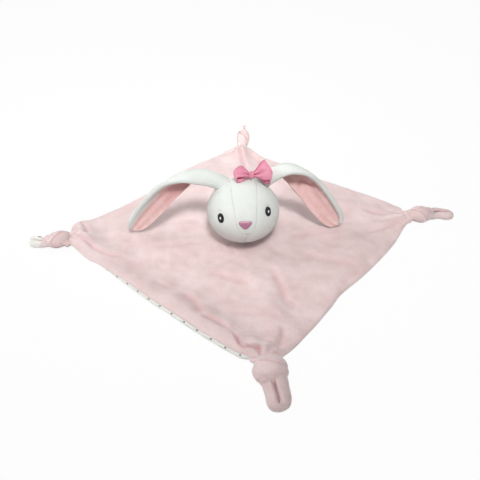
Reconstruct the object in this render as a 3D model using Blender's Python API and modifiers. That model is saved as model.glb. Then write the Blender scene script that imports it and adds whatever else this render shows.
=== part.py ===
# Comfort blanket with a stuffed rabbit head, a bow and four knotted corners.
# Metres, +Z up. The origin is on the ground under the middle of the toy. The face looks along -Y,
# and left and right are those of someone who looks at the face.

import math

import bmesh
import bpy
from mathutils import Matrix, Vector

# Fits
GAP = 0.0003
SEAM_GAP = 0.0007
STUFFING_GAP = 0.0006
FLOOR_CUT = 0.0005
CUT_OVERRUN = 0.02

# Blanket
PANEL_SIDE = 0.306
PANEL_CENTRE = (-0.005, 0.0115)
TOP_PANEL_THICKNESS = 0.0020
BACKING_THICKNESS = 0.0015
EDGE_ROW = 0.010
EDGE_THREAD_RADIUS = 0.00018
EDGE_THREAD_ROOM = 0.0004
PANEL_CELLS = 18
CORNER_LIFT = 0.0070
CORNER_SPREAD = 0.042
NECK_SPREAD = 0.026
NECK_WIDTH = 0.024
EDGE_WAVE = 0.008
EDGE_WAVE_SPREAD = 0.060
FRONT_LEFT_EDGE_LIFT = 0.0068
FRONT_LEFT_EDGE_RUN = 0.0035
FOLD_HEIGHT = 0.0048
FOLD_WIDTH = 0.016

# Corners: knots and tails
CORNER_GATHER = 0.01637
THROAT_LENGTH = 0.0025
THROAT_RADIUS = 0.0080
TAIL_WAIST_RADIUS = 0.0049
TAIL_LOBE_RADIUS = 0.0088
TAIL_TIP_RADIUS = 0.0030
TAIL_FLATNESS_SHARE = 0.70
KNOT_RING_RADIUS = 0.0094
KNOT_BAND_RADIUS = 0.0039
KNOT_LENGTH = 0.0200
KNOT_FLATNESS_SHARE = 0.78

# Head
HEAD_WIDTH = 0.0802
HEAD_DEPTH = 0.0827
HEAD_HEIGHT = 0.0678
HEAD_PLACE = (-0.0078, -0.0040)
HEAD_CLEARANCE = 0.0033
PLUSH_THICKNESS = 0.0012
CHEEK_SHARE = 0.035
MUZZLE_SHARE = 0.045
HEAD_SEGMENTS = 24
HEAD_RINGS = 16
CUTTER_SEGMENTS = 32
CUTTER_RINGS = 24

# Neck
NECK_RADIUS = 0.0145
NECK_HEIGHT = 0.0070
NECK_THREAD_RADIUS = 0.0005
NOD_ANGLES = (-5.0, 0.0, 4.0, 8.0, 12.0)

# Face
EYE_WIDTH = 0.0082
EYE_HEIGHT = 0.0104
EYE_THICKNESS = 0.0008
HIGHLIGHT_WIDTH = 0.0026
HIGHLIGHT_HEIGHT = 0.0036
HIGHLIGHT_THICKNESS = 0.0004
NOSE_WIDTH = 0.0142
NOSE_HEIGHT = 0.0086
NOSE_THICKNESS = 0.0010
NOSE_BAND_HEIGHT = 0.0018
MOUTH_WIDTH = 0.0042
STITCH_RADIUS = 0.00035
LASH_LENGTH = 0.0062

# Ears
EAR_LENGTH = 0.140
EAR_WIDTH = 0.044
EAR_OUTER_THICKNESS = 0.0016
EAR_LINING_THICKNESS = 0.0010
EAR_ROOT_CLEARANCE = 0.0005
EAR_STEPS = 14
EAR_COLUMNS = 9

# Bow
RIBBON_THICKNESS = 0.0008
RIBBON_WIDTH = 0.022
RIBBON_WAIST = 0.0075
BOW_LOOP_LENGTH = 0.0215
BOW_LOOP_DEPTH = 0.0085
BOW_WRAP_RADIUS = 0.0028
BOW_WRAP_HEIGHT = 0.0085
BOW_STITCH_RADIUS = 0.0009
BOW_ABOVE_HEAD = 0.0065

# Colours, as linear values
PINK_VELOUR = (0.79, 0.62, 0.61)
WHITE_JERSEY = (0.86, 0.87, 0.86)
WHITE_PLUSH = (0.86, 0.88, 0.87)
LINING_PINK = (0.72, 0.51, 0.49)
RIBBON_PINK = (0.78, 0.33, 0.45)
RIBBON_DEEP = (0.62, 0.20, 0.32)
NOSE_MAUVE = (0.31, 0.13, 0.21)
NOSE_PALE = (0.55, 0.33, 0.42)
THREAD_BLACK = (0.008, 0.008, 0.008)
THREAD_WHITE = (0.85, 0.85, 0.85)
THREAD_GREY = (0.45, 0.46, 0.46)
THREAD_BROWN = (0.33, 0.27, 0.25)
FIBRE_WHITE = (0.80, 0.80, 0.78)

# The four corners in turn: the corner of the flat panel in half diagonals, the neck in NECK_REACH, the way
# the knotted strip points from its neck, and the sizes of its knot and tail.
CORNERS = {
    "left": {"corner_shares": (-1.003, -0.023), "neck_shares": (-1.010, -0.065), "heading": 180.0,
             "reach_share": 0.93, "knot_share": 0.86, "lobe_share": 0.80, "tip_rise_share": 0.05,
             "bend_share": 0.0},
    "front": {"corner_shares": (-0.023, -1.003), "neck_shares": (0.0, -1.010), "heading": 277.0,
              "reach_share": 1.14, "knot_share": 1.04, "lobe_share": 1.18, "tip_rise_share": 0.0,
              "bend_share": 0.015},
    "right": {"corner_shares": (1.007, 0.028), "neck_shares": (0.990, 0.020), "heading": 8.0,
              "reach_share": 1.19, "knot_share": 0.94, "lobe_share": 1.02, "tip_rise_share": 0.03,
              "bend_share": -0.02},
    "back": {"corner_shares": (0.023, 0.998), "neck_shares": (0.065, 0.985), "heading": 79.0,
             "reach_share": 0.74, "knot_share": 0.86, "lobe_share": 0.52, "tip_rise_share": 0.42,
             "bend_share": 0.0},
}
TAIL_REACH = 0.0465

# How far the panel's edge strays outwards from a straight line between its corners: the place along that
# side as a share of its length, with the stray in EDGE_WAVE.
EDGE_WAVE_SHARES = {
    "front_left": [(0.0, 0.0), (0.08, -0.40), (0.22, -0.20), (0.40, -0.05), (0.62, 0.15), (0.74, 0.12),
                   (0.86, -0.05), (0.94, -0.20), (1.0, 0.0)],
    "front_right": [(0.0, 0.0), (0.10, 0.30), (0.22, 0.18), (0.34, 0.0), (0.42, -0.34), (0.54, -0.10),
                    (0.68, -0.12), (0.78, -0.40), (0.90, -1.00), (0.96, -0.50), (1.0, 0.0)],
    "back_right": [(0.0, 0.0), (0.08, 0.10), (0.18, 0.55), (0.26, 0.35), (0.38, 0.0), (0.50, -0.35),
                   (0.70, -0.30), (0.86, -0.45), (0.94, -0.30), (1.0, 0.0)],
    "back_left": [(0.0, 0.0), (0.08, -0.55), (0.18, -0.20), (0.28, 0.25), (0.42, 0.20), (0.54, -0.40),
                  (0.70, -0.30), (0.82, 0.20), (0.90, 0.50), (1.0, 0.0)],
}

# Folds of the blanket: both ends in half diagonals from the middle of the panel, height in FOLD_HEIGHT
# and width in FOLD_WIDTH.
FOLD_SHARES = [
    ((-0.89, 0.10), (-0.82, -0.06), 1.00, 0.8),
    ((-0.80, -0.10), (-0.66, -0.19), 0.55, 0.8),
    ((-0.36, -0.58), (-0.12, -0.80), 1.00, 1.0),
    ((-0.72, -0.26), (-0.45, -0.48), 0.50, 0.9),
    ((0.28, -0.62), (0.62, -0.22), 0.75, 1.1),
    ((0.02, -0.42), (0.10, -0.76), 0.55, 1.0),
    ((0.70, 0.12), (0.50, 0.26), 0.60, 0.9),
    ((0.05, 0.84), (0.02, 0.56), 0.90, 0.8),
    ((-0.42, 0.44), (-0.18, 0.68), 0.45, 1.2),
]

# Ears from root to tip: place from the head's middle in EAR_LENGTH, width in EAR_WIDTH, the angle that
# the section curls through, and how far its open side is rolled from underneath to the front.
LEFT_EAR_SHARES = [
    ((-0.115, 0.105, 0.110), 0.56, 240.0, 0.0),
    ((-0.215, 0.120, 0.210), 0.64, 225.0, 5.0),
    ((-0.340, 0.128, 0.258), 0.78, 195.0, 18.0),
    ((-0.460, 0.132, 0.238), 0.87, 172.0, 38.0),
    ((-0.580, 0.130, 0.142), 0.91, 155.0, 52.0),
    ((-0.700, 0.122, 0.005), 0.92, 140.0, 58.0),
    ((-0.812, 0.112, -0.116), 0.76, 115.0, 62.0),
    ((-0.893, 0.102, -0.200), 0.36, 70.0, 62.0),
]
RIGHT_EAR_SHARES = [
    ((0.115, 0.105, 0.120), 0.56, 240.0, 0.0),
    ((0.215, 0.120, 0.230), 0.64, 225.0, 6.0),
    ((0.335, 0.128, 0.278), 0.84, 185.0, 22.0),
    ((0.450, 0.130, 0.222), 0.98, 150.0, 46.0),
    ((0.550, 0.125, 0.120), 1.12, 125.0, 62.0),
    ((0.655, 0.115, -0.002), 1.14, 110.0, 66.0),
    ((0.750, 0.100, -0.126), 0.88, 95.0, 66.0),
    ((0.818, 0.085, -0.212), 0.38, 60.0, 66.0),
]
EAR_AXIS_DIRECTIONS = {"left": (-0.40, 0.36, 0.84), "right": (0.40, 0.36, 0.84)}

# The forehead gusset: angle round the head from the back over the top to the chin, and half its width,
# both in degrees. It ends in a point behind the neck and another under the nose.
GUSSET_ANGLES = [(-75.0, 0.0), (-45.0, 11.0), (0.0, 19.0), (90.0, 21.5), (150.0, 17.0), (180.0, 11.5),
                 (195.0, 0.0)]

# Places on the face, as directions from the head's middle in half widths, depths and heights.
EYE_DIRECTIONS = {"left": (-0.665, -0.70, 0.275), "right": (0.600, -0.70, 0.420)}
EYE_TILTS = {"left": 14.0, "right": -12.0}
LASH_DIRECTIONS = {"left": (-0.72, -0.55, 0.46), "right": (0.64, -0.54, 0.56)}
NOSE_DIRECTION = (-0.03, -0.97, 0.235)
NOSE_BAND_DIRECTION = (-0.03, -0.93, 0.395)
MOUTH_DIRECTION = (0.02, -1.0, -0.07)
BOW_DIRECTION = (0.250, 0.17, 0.95)

# Bow loops: length and outer width in the bow's sizes, how far the ribbon leans back from upright, how
# far the loop rises from level and how far it swings forward.
BOW_LOOPS = {
    "left": {"side": -1, "length_share": 0.84, "width_share": 0.82, "shift_share": 0.10,
             "lean": 52.0, "rise": 10.0, "swing": 12.0},
    "right": {"side": 1, "length_share": 1.05, "width_share": 1.08, "shift_share": 0.08,
              "lean": 26.0, "rise": 8.0, "swing": 12.0},
}

COLLECTION_NAME = "Comfort blanket"
CUTTER_COLLECTION_NAME = "Cutters"

HALF_DIAGONAL = PANEL_SIDE / math.sqrt(2.0)
NECK_REACH = HALF_DIAGONAL - CORNER_GATHER
HEAD_SIZES = Vector((HEAD_WIDTH / 2.0, HEAD_DEPTH / 2.0, HEAD_HEIGHT / 2.0))
PANEL_PARTING = BACKING_THICKNESS - FLOOR_CUT + GAP / 2.0
BLANKET_TOP = PANEL_PARTING + GAP / 2.0 + TOP_PANEL_THICKNESS
HEAD_CENTRE = Vector((HEAD_PLACE[0], HEAD_PLACE[1], BLANKET_TOP + HEAD_CLEARANCE + HEAD_HEIGHT / 2.0))


def clear_scene():
    for old in list(bpy.data.objects):
        bpy.data.objects.remove(old, do_unlink=True)


def collection_named(name):
    group = bpy.data.collections.new(name)
    bpy.context.scene.collection.children.link(group)
    return group


def material_for(name, colour, roughness):
    mat = bpy.data.materials.new(name)
    mat.use_nodes = True
    shader = mat.node_tree.nodes["Principled BSDF"]
    shader.inputs["Base Color"].default_value = (*colour, 1.0)
    shader.inputs["Roughness"].default_value = roughness
    shader.inputs["Metallic"].default_value = 0.0
    mat.diffuse_color = (*colour, 1.0)
    return mat


def add_object(name, data, group, colour=None, roughness=0.9, parent=None):
    """Link an object under an empty; its mesh is already in world places."""
    obj = bpy.data.objects.new(name, data)
    group.objects.link(obj)
    if colour is not None:
        data.materials.append(material_for(name + "_finish", colour, roughness))
    if parent is not None:
        obj.parent = parent
        obj.matrix_parent_inverse = Matrix.Translation(parent.location).inverted()
    return obj


def mesh_from(bm, name):
    mesh = bpy.data.meshes.new(name)
    bm.to_mesh(mesh)
    bm.free()
    mesh.shade_smooth()
    mesh.set_sharp_from_angle(angle=math.radians(40.0))
    return mesh


def thicken(obj, thickness, offset):
    solid = obj.modifiers.new("Wall", "SOLIDIFY")
    solid.thickness = thickness
    solid.offset = offset
    solid.use_even_offset = False
    return solid


def cut(obj, cutter):
    trim = obj.modifiers.new("Cut by " + cutter.name, "BOOLEAN")
    trim.operation = "DIFFERENCE"
    trim.solver = "EXACT"
    trim.object = cutter
    return trim


def joint_empty(name, place, parent, group):
    """An empty on a joint's axis, or at the middle of a body."""
    empty = bpy.data.objects.new(name, None)
    group.objects.link(empty)
    empty.location = place
    if parent is not None:
        empty.parent = parent
        empty.matrix_parent_inverse = Matrix.Translation(parent.location).inverted()
    return empty


def smooth_step(x):
    x = min(1.0, max(0.0, x))
    return x * x * (3.0 - 2.0 * x)


def between(table, x):
    """Read a table of (place, value) pairs at x, with straight runs between them."""
    if x <= table[0][0]:
        return table[0][1]
    for (x0, y0), (x1, y1) in zip(table, table[1:]):
        if x <= x1:
            return y0 + (y1 - y0) * (x - x0) / (x1 - x0)
    return table[-1][1]


# Blanket

def panel_corner(name):
    x_share, y_share = CORNERS[name]["corner_shares"]
    return Vector((PANEL_CENTRE[0] + x_share * HALF_DIAGONAL, PANEL_CENTRE[1] + y_share * HALF_DIAGONAL))


def neck_place(name):
    x_share, y_share = CORNERS[name]["neck_shares"]
    return Vector((PANEL_CENTRE[0] + x_share * NECK_REACH, PANEL_CENTRE[1] + y_share * NECK_REACH))


def straight_point(s, t):
    """Plan place for s and t from -1 to 1 on the flat panel: the corners run left, front, right, back."""
    left, front, right, back = (panel_corner(name) for name in CORNERS)
    a, b = (s + 1.0) / 2.0, (t + 1.0) / 2.0
    return left * (1 - a) * (1 - b) + front * a * (1 - b) + right * a * b + back * (1 - a) * b


def edge_stray(s, t):
    """How far the four sides' waves move a place; each one fades out towards the middle."""
    half = PANEL_SIDE / 2.0
    sides = (("front_left", s, -t, Vector((-1.0, -1.0))), ("front_right", t, s, Vector((1.0, -1.0))),
             ("back_right", -s, t, Vector((1.0, 1.0))), ("back_left", -t, -s, Vector((-1.0, 1.0))))
    stray = Vector((0.0, 0.0))
    for name, along, out, way in sides:
        wave = EDGE_WAVE * between(EDGE_WAVE_SHARES[name], (along + 1.0) / 2.0)
        stray += way.normalized() * wave * smooth_step(1.0 - (1.0 - out) * half / EDGE_WAVE_SPREAD)
    return stray


def panel_point(s, t):
    """Plan place for s and t from -1 to 1, with the wavy edges and the corners drawn in to their necks."""
    plan = straight_point(s, t)
    moved = plan + edge_stray(s, t)
    row = 1.0 - EDGE_ROW / (PANEL_SIDE / 2.0)
    ends = {"left": ((-1.0, -row), (-row, -1.0)), "front": ((row, -1.0), (1.0, -row)),
            "right": ((1.0, row), (row, 1.0)), "back": ((-row, 1.0), (-1.0, row))}
    for name, pair in ends.items():
        away = (plan - panel_corner(name)).length
        pull = smooth_step((NECK_SPREAD - away) / (NECK_SPREAD - EDGE_ROW))
        if pull == 0.0:
            continue
        heading = math.radians(CORNERS[name]["heading"])
        sideways = Vector((-math.sin(heading), math.cos(heading)))
        first, second = (straight_point(*end) for end in pair)
        share = (plan - first).dot(second - first) / (second - first).length_squared
        share = min(1.0, max(0.0, share))
        target = neck_place(name) + sideways * (NECK_WIDTH * (share - 0.5))
        moved = moved.lerp(target + (plan - first.lerp(second, share)), pull)
    return moved


def distance_to_run(point, start, end):
    run = end - start
    along = min(1.0, max(0.0, (point - start).dot(run) / run.length_squared))
    return (point - start - run * along).length


def blanket_height(plan):
    """Height of the parting face between the two panels."""
    height = PANEL_PARTING
    centre = Vector(PANEL_CENTRE)
    for start, end, height_share, width_share in FOLD_SHARES:
        run_start = centre + Vector(start) * HALF_DIAGONAL
        run_end = centre + Vector(end) * HALF_DIAGONAL
        away = distance_to_run(plan, run_start, run_end)
        width = FOLD_WIDTH * width_share
        height += FOLD_HEIGHT * height_share * math.exp(-((away / width) ** 2))
    for name in CORNERS:
        height += CORNER_LIFT * smooth_step(1.0 - (plan - neck_place(name)).length / CORNER_SPREAD)
    return height


def rolled_edge(s, t):
    """The front left edge stands up: how far a place moves outwards, and how far up."""
    half = PANEL_SIDE / 2.0
    inside = (1.0 + t) * half
    window = smooth_step((1.0 - abs(s)) * half / CORNER_SPREAD - 0.25)
    rise = FRONT_LEFT_EDGE_LIFT * window * smooth_step(1.0 - inside / EDGE_ROW)
    beside = abs(inside - EDGE_ROW) / EDGE_ROW
    run = (EDGE_ROW - FRONT_LEFT_EDGE_RUN) * window * max(0.0, 1.0 - beside)
    return Vector((-1.0, -1.0)).normalized() * run, rise


def blanket_place(s, t):
    """Where the two panels part."""
    plan = panel_point(s, t)
    run, rise = rolled_edge(s, t)
    return Vector((plan.x + run.x, plan.y + run.y, blanket_height(plan) + rise))


def edge_part(s, t):
    """0 inside the edge row and 1 on the panel's edge."""
    row = EDGE_ROW / (PANEL_SIDE / 2.0)
    return min(1.0, max(0.0, (max(abs(s), abs(t)) - 1.0 + row) / row))


def grid_line(share):
    """Even grid lines, with one more row close to each edge."""
    row = EDGE_ROW / (PANEL_SIDE / 2.0)
    inner = 1.0 - row
    step = 1.0 - 2.0 / PANEL_CELLS
    if abs(share) > step + (1.0 - step) / 2.0:
        return math.copysign(1.0, share)
    return share / step * inner


def panel_sheet(name, side, group, parent, colour, thickness):
    """One panel: the face towards the other panel, with its wall grown away from it."""
    bm = bmesh.new()
    bmesh.ops.create_grid(bm, x_segments=PANEL_CELLS, y_segments=PANEL_CELLS, size=1.0)
    bm.verts.ensure_lookup_table()
    last = 1.0 - 1.0 / PANEL_CELLS
    corners = [v for v in bm.verts if abs(v.co.x) > last and abs(v.co.y) > last]
    for vert in corners:
        pair = [edge.other_vert(vert) for edge in vert.link_edges]
        bmesh.ops.connect_verts(bm, verts=pair)
    bmesh.ops.delete(bm, geom=corners, context="VERTS")
    rooms = {}
    for vert in bm.verts:
        s, t = grid_line(vert.co.x), grid_line(vert.co.y)
        rooms[vert] = GAP / 2.0 + EDGE_THREAD_ROOM * edge_part(s, t)
        vert.co = blanket_place(s, t)
    bm.normal_update()
    bmesh.ops.recalc_face_normals(bm, faces=bm.faces)
    if sum(face.normal.z for face in bm.faces) * side < 0.0:
        bmesh.ops.reverse_faces(bm, faces=bm.faces)
    bm.normal_update()
    moves = {vert: vert.normal * room for vert, room in rooms.items()}
    for vert, move in moves.items():
        vert.co += move
    obj = add_object(name, mesh_from(bm, name), group, colour, parent=parent)
    thicken(obj, thickness, 1.0)
    return obj


def edge_thread(name, group, parent):
    """The seam's thread, all round between the edges of the two panels."""
    inner = 1.0 - EDGE_ROW / (PANEL_SIDE / 2.0)
    lines = [grid_line(-1.0 + 2.0 * i / PANEL_CELLS) for i in range(1, PANEL_CELLS)]
    sides = [[(x, -1.0) for x in lines], [(1.0, x) for x in lines],
             [(-x, 1.0) for x in lines], [(-1.0, -x) for x in lines]]
    curve = bpy.data.curves.new(name, "CURVE")
    curve.dimensions = "3D"
    curve.bevel_depth = EDGE_THREAD_RADIUS
    curve.bevel_resolution = 0
    curve.use_fill_caps = True
    places = [place for side in sides for place in side]
    spline = curve.splines.new("POLY")
    spline.points.add(len(places) - 1)
    spline.use_cyclic_u = True
    for point, (s, t) in zip(spline.points, places):
        edge = blanket_place(s, t)
        inwards = blanket_place(max(-inner, min(inner, s)), max(-inner, min(inner, t))) - edge
        point.co = (*(edge + inwards.normalized() * EDGE_THREAD_RADIUS * 2.0), 1.0)
    return add_object(name, curve, group, THREAD_WHITE, parent=parent)


def floor_cutter(group):
    """Takes the underside off flat where the backing lies on the ground."""
    bm = bmesh.new()
    bmesh.ops.create_cube(bm, size=1.0)
    depth = CUT_OVERRUN
    bmesh.ops.scale(bm, verts=bm.verts, vec=(PANEL_SIDE * 2.0, PANEL_SIDE * 2.0, depth))
    bmesh.ops.translate(bm, verts=bm.verts, vec=(0.0, 0.0, -depth / 2.0))
    cutter = add_object("floor_cutter", mesh_from(bm, "floor_cutter"), group)
    hide_cutter(cutter)
    return cutter


def hide_cutter(cutter):
    cutter.hide_render = True
    cutter.display_type = "WIRE"


# Corners

def corner_frame(name):
    """Local X points out along the strip from the neck, on the ground."""
    neck = neck_place(name)
    heading = math.radians(CORNERS[name]["heading"])
    return Matrix.Translation((neck.x, neck.y, 0.0)) @ Matrix.Rotation(heading, 4, "Z")


def knot_height(name):
    outer = KNOT_RING_RADIUS + KNOT_BAND_RADIUS
    return outer * KNOT_FLATNESS_SHARE * CORNERS[name]["knot_share"] + GAP


def hinge_height(name):
    """Level with the top of the blanket, so that the knot lifts off it and doesn't dig into it."""
    blanket = blanket_height(neck_place(name)) + GAP / 2.0 + TOP_PANEL_THICKNESS
    return max(knot_height(name), blanket) + GAP


def knot_middle(name):
    return THROAT_LENGTH + KNOT_LENGTH * CORNERS[name]["knot_share"] / 2.0


def make_knot(name, group, parent):
    """The strip's turn round itself: a fat ring, drawn out along the strip."""
    size = CORNERS[name]["knot_share"]
    bpy.ops.mesh.primitive_torus_add(major_radius=KNOT_RING_RADIUS * size,
                                     minor_radius=KNOT_BAND_RADIUS * size,
                                     major_segments=16, minor_segments=8)
    made = bpy.context.object
    mesh = made.data
    bpy.data.objects.remove(made, do_unlink=True)
    stretch = KNOT_LENGTH / (2.0 * KNOT_BAND_RADIUS)
    drawn_out = Matrix.Diagonal((stretch, 1.0, KNOT_FLATNESS_SHARE, 1.0))
    turned = drawn_out @ Matrix.Rotation(math.pi / 2.0, 4, "Y")
    lifted = Matrix.Translation((knot_middle(name), 0.0, knot_height(name)))
    mesh.transform(corner_frame(name) @ lifted @ turned)
    mesh.shade_smooth()
    return add_object("knot_" + name, mesh, group, PINK_VELOUR, parent=parent)


def make_tail(name, group, parent):
    """The strip from its neck, through the knot, to its rounded end."""
    corner = CORNERS[name]
    reach = TAIL_REACH * corner["reach_share"]
    middle, centre = knot_height(name), knot_middle(name)
    waist = TAIL_WAIST_RADIUS * corner["knot_share"]
    lobe = TAIL_LOBE_RADIUS * corner["lobe_share"]
    rise = reach * corner["tip_rise_share"]
    low = lobe * TAIL_FLATNESS_SHARE + GAP
    if low < middle and rise > 0.0:
        low = low + (middle - low) * min(1.0, corner["tip_rise_share"] * 3.0)
    bend = reach * corner["bend_share"]
    after_knot = centre * 2.0 - THROAT_LENGTH
    run = reach - after_knot
    stations = [
        (GAP * 2.5, 0.0, middle, THROAT_RADIUS),
        (THROAT_LENGTH, 0.0, middle, waist),
        ((THROAT_LENGTH * 3.0 + centre) / 4.0, 0.0, middle, waist),
        (centre, 0.0, middle, waist),
        ((centre + after_knot) / 2.0, 0.0, middle, waist),
        (after_knot, 0.0, (low + middle * 2.0) / 3.0, waist),
        (after_knot + run * 0.25, bend, low + rise * 0.2, lobe * 0.88),
        (after_knot + run * 0.48, bend * 2.0, low + rise * 0.5, lobe),
        (after_knot + run * 0.78, bend * 3.0, low + rise * 0.8, lobe * 0.86),
        (reach, bend * 3.5, low + rise, TAIL_TIP_RADIUS),
    ]
    curve = bpy.data.curves.new("tail_" + name, "CURVE")
    curve.dimensions = "3D"
    curve.bevel_depth = 1.0
    curve.bevel_resolution = 2
    curve.use_fill_caps = True
    spline = curve.splines.new("POLY")
    spline.points.add(len(stations) - 1)
    for point, (x, y, z, radius) in zip(spline.points, stations):
        point.co = (x, y, z / TAIL_FLATNESS_SHARE, 1.0)
        point.radius = radius
    obj = add_object("tail_" + name, curve, group, PINK_VELOUR)
    obj.parent = parent
    flat = Matrix.Diagonal((1.0, 1.0, TAIL_FLATNESS_SHARE, 1.0))
    obj.matrix_world = corner_frame(name) @ flat
    return obj


# Head

def head_point(direction, offset=0.0):
    """A place on the head's skin, or offset from it, for a direction on the unit sphere."""
    d = Vector(direction).normalized()
    muzzle = (d - Vector((0.0, -0.96, -0.05)).normalized()).length_squared
    swell = 1.0 + MUZZLE_SHARE * math.exp(-muzzle / 0.20)
    cheek = 1.0 - CHEEK_SHARE * d.z
    return HEAD_CENTRE + Vector((
        d.x * (HEAD_SIZES.x * cheek + offset),
        d.y * (HEAD_SIZES.y * swell + offset),
        d.z * (HEAD_SIZES.z + offset),
    ))


def head_angles(vert):
    """Sideways angle and the angle round from the back over the top, for a sphere with poles on Z."""
    sideways = math.asin(max(-1.0, min(1.0, vert.co.z)))
    around = math.degrees(math.atan2(vert.co.y, vert.co.x))
    return sideways, around


def gusset_half_angle(around):
    if around < -90.0:
        around += 360.0
    return math.radians(between(GUSSET_ANGLES, around))


def seam_angle(sideways, around, gap_angle):
    """Move a ring of the sphere so that its third ring from the middle follows the gusset's seam."""
    band = math.pi / HEAD_RINGS * 2.0
    half = gusset_half_angle(around)
    if abs(sideways) < band * 1.01 and gap_angle <= 0.0:
        return sideways / band * max(0.0, half + gap_angle)
    share = (abs(sideways) - band) / (math.pi / 2.0 - band)
    start = half + max(0.0, gap_angle)
    return math.copysign(start + (math.pi / 2.0 - start) * share, sideways)


def head_direction(sideways, around):
    a = math.radians(around)
    return Vector((math.sin(sideways), math.cos(sideways) * math.cos(a), math.cos(sideways) * math.sin(a)))


def unit_sphere(segments, rings):
    bm = bmesh.new()
    bmesh.ops.create_uvsphere(bm, u_segments=segments, v_segments=rings, radius=1.0)
    return bm


def head_side(name, side, group, parent):
    """A side panel: from its seam with the gusset, and under the chin with the other side."""
    bm = unit_sphere(HEAD_SEGMENTS, HEAD_RINGS)
    ring = math.pi / HEAD_RINGS
    unwanted = [v for v in bm.verts if v.co.z * side < math.sin(ring * 1.5)]
    bmesh.ops.delete(bm, geom=unwanted, context="VERTS")
    for vert in bm.verts:
        sideways, around = head_angles(vert)
        sideways = seam_angle(sideways, around, SEAM_GAP / 2.0 / HEAD_SIZES.x)
        vert.co = head_point(head_direction(sideways, around))
    bm.normal_update()
    bmesh.ops.recalc_face_normals(bm, faces=bm.faces)
    outwards(bm)
    obj = add_object(name, mesh_from(bm, name), group, WHITE_PLUSH, parent=parent)
    thicken(obj, PLUSH_THICKNESS, -1.0)
    return obj


def outwards(bm):
    """Turn an open patch of the head's skin so that it faces away from the head's middle."""
    bm.normal_update()
    facing = sum(face.normal.dot(face.calc_center_median() - HEAD_CENTRE) for face in bm.faces)
    if facing < 0.0:
        bmesh.ops.reverse_faces(bm, faces=bm.faces)


def head_gusset(name, group, parent):
    """The strip from behind the neck over the top to the nose."""
    bm = unit_sphere(HEAD_SEGMENTS, HEAD_RINGS)
    ring = math.pi / HEAD_RINGS
    start, end = GUSSET_ANGLES[0][0], GUSSET_ANGLES[-1][0]
    margin = 180.0 / HEAD_SEGMENTS
    point_gap = math.degrees(SEAM_GAP * 2.0 / HEAD_SIZES.y)
    unwanted = []
    for vert in bm.verts:
        sideways, around = head_angles(vert)
        if around < -90.0 - margin:
            around += 360.0
        if abs(sideways) > ring * 2.5 or around < start - margin or around > end + margin:
            unwanted.append(vert)
    bmesh.ops.delete(bm, geom=unwanted, context="VERTS")
    for vert in bm.verts:
        sideways, around = head_angles(vert)
        sideways = seam_angle(sideways, around, -SEAM_GAP / 2.0 / HEAD_SIZES.x)
        if around < -90.0 - margin:
            around += 360.0
        around = min(max(around, start + point_gap), end - point_gap)
        vert.co = head_point(head_direction(sideways, around))
    bmesh.ops.remove_doubles(bm, verts=bm.verts, dist=GAP / 10.0)
    bm.normal_update()
    bmesh.ops.recalc_face_normals(bm, faces=bm.faces)
    outwards(bm)
    obj = add_object(name, mesh_from(bm, name), group, WHITE_PLUSH, parent=parent)
    thicken(obj, PLUSH_THICKNESS, -1.0)
    return obj


def make_stuffing(name, group, parent):
    """The fill, with the same rings as the panels round it."""
    bm = unit_sphere(HEAD_SEGMENTS, HEAD_RINGS)
    for vert in bm.verts:
        sideways, around = head_angles(vert)
        sideways = seam_angle(sideways, around, 0.0)
        vert.co = head_point(head_direction(sideways, around), -PLUSH_THICKNESS - STUFFING_GAP)
    bmesh.ops.remove_doubles(bm, verts=bm.verts, dist=GAP / 10.0)
    bm.normal_update()
    bmesh.ops.recalc_face_normals(bm, faces=bm.faces)
    return add_object(name, mesh_from(bm, name), group, FIBRE_WHITE, 1.0, parent)


def head_cutter(name, group, offset):
    """The whole head's form, out by an offset, to cut what sits against it."""
    bm = unit_sphere(CUTTER_SEGMENTS, CUTTER_RINGS)
    for vert in bm.verts:
        sideways, around = head_angles(vert)
        vert.co = head_point(head_direction(sideways, around), offset)
    bm.normal_update()
    bmesh.ops.recalc_face_normals(bm, faces=bm.faces)
    cutter = add_object(name, mesh_from(bm, name), group)
    hide_cutter(cutter)
    return cutter


# Neck

def nod_cutter(name, group):
    """The room that the head sweeps as it nods, hulled round its form at each of several angles."""
    bm = bmesh.new()
    for angle in NOD_ANGLES:
        head = unit_sphere(CUTTER_SEGMENTS, CUTTER_RINGS)
        turn = Matrix.Rotation(math.radians(angle), 3, "X")
        for vert in head.verts:
            place = head_point(head_direction(*head_angles(vert)), GAP)
            bm.verts.new(HEAD_CENTRE + turn @ (place - HEAD_CENTRE))
        head.free()
    hull = bmesh.ops.convex_hull(bm, input=bm.verts)
    loose = [v for v in hull["geom_interior"] if isinstance(v, bmesh.types.BMVert)]
    bmesh.ops.delete(bm, geom=loose, context="VERTS")
    bm.normal_update()
    bmesh.ops.recalc_face_normals(bm, faces=bm.faces)
    cutter = add_object(name, mesh_from(bm, name), group)
    hide_cutter(cutter)
    return cutter


def make_neck_base(name, group, parent, cutter):
    bm = bmesh.new()
    bmesh.ops.create_cone(bm, cap_ends=True, segments=24, radius1=NECK_RADIUS, radius2=NECK_RADIUS,
                          depth=NECK_HEIGHT)
    place = (HEAD_CENTRE.x, HEAD_CENTRE.y, BLANKET_TOP + GAP + NECK_HEIGHT / 2.0)
    bmesh.ops.translate(bm, verts=bm.verts, vec=place)
    obj = add_object(name, mesh_from(bm, name), group, WHITE_PLUSH, parent=parent)
    cut(obj, cutter)
    return obj


def make_neck_stitch(name, group, parent):
    ring = NECK_RADIUS + GAP + NECK_THREAD_RADIUS
    bpy.ops.mesh.primitive_torus_add(major_radius=ring, minor_radius=NECK_THREAD_RADIUS, major_segments=32,
                                     minor_segments=4)
    made = bpy.context.object
    mesh = made.data
    bpy.data.objects.remove(made, do_unlink=True)
    place = (HEAD_CENTRE.x, HEAD_CENTRE.y, BLANKET_TOP + GAP + NECK_THREAD_RADIUS)
    mesh.transform(Matrix.Translation(place))
    return add_object(name, mesh, group, THREAD_WHITE, parent=parent)


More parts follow.
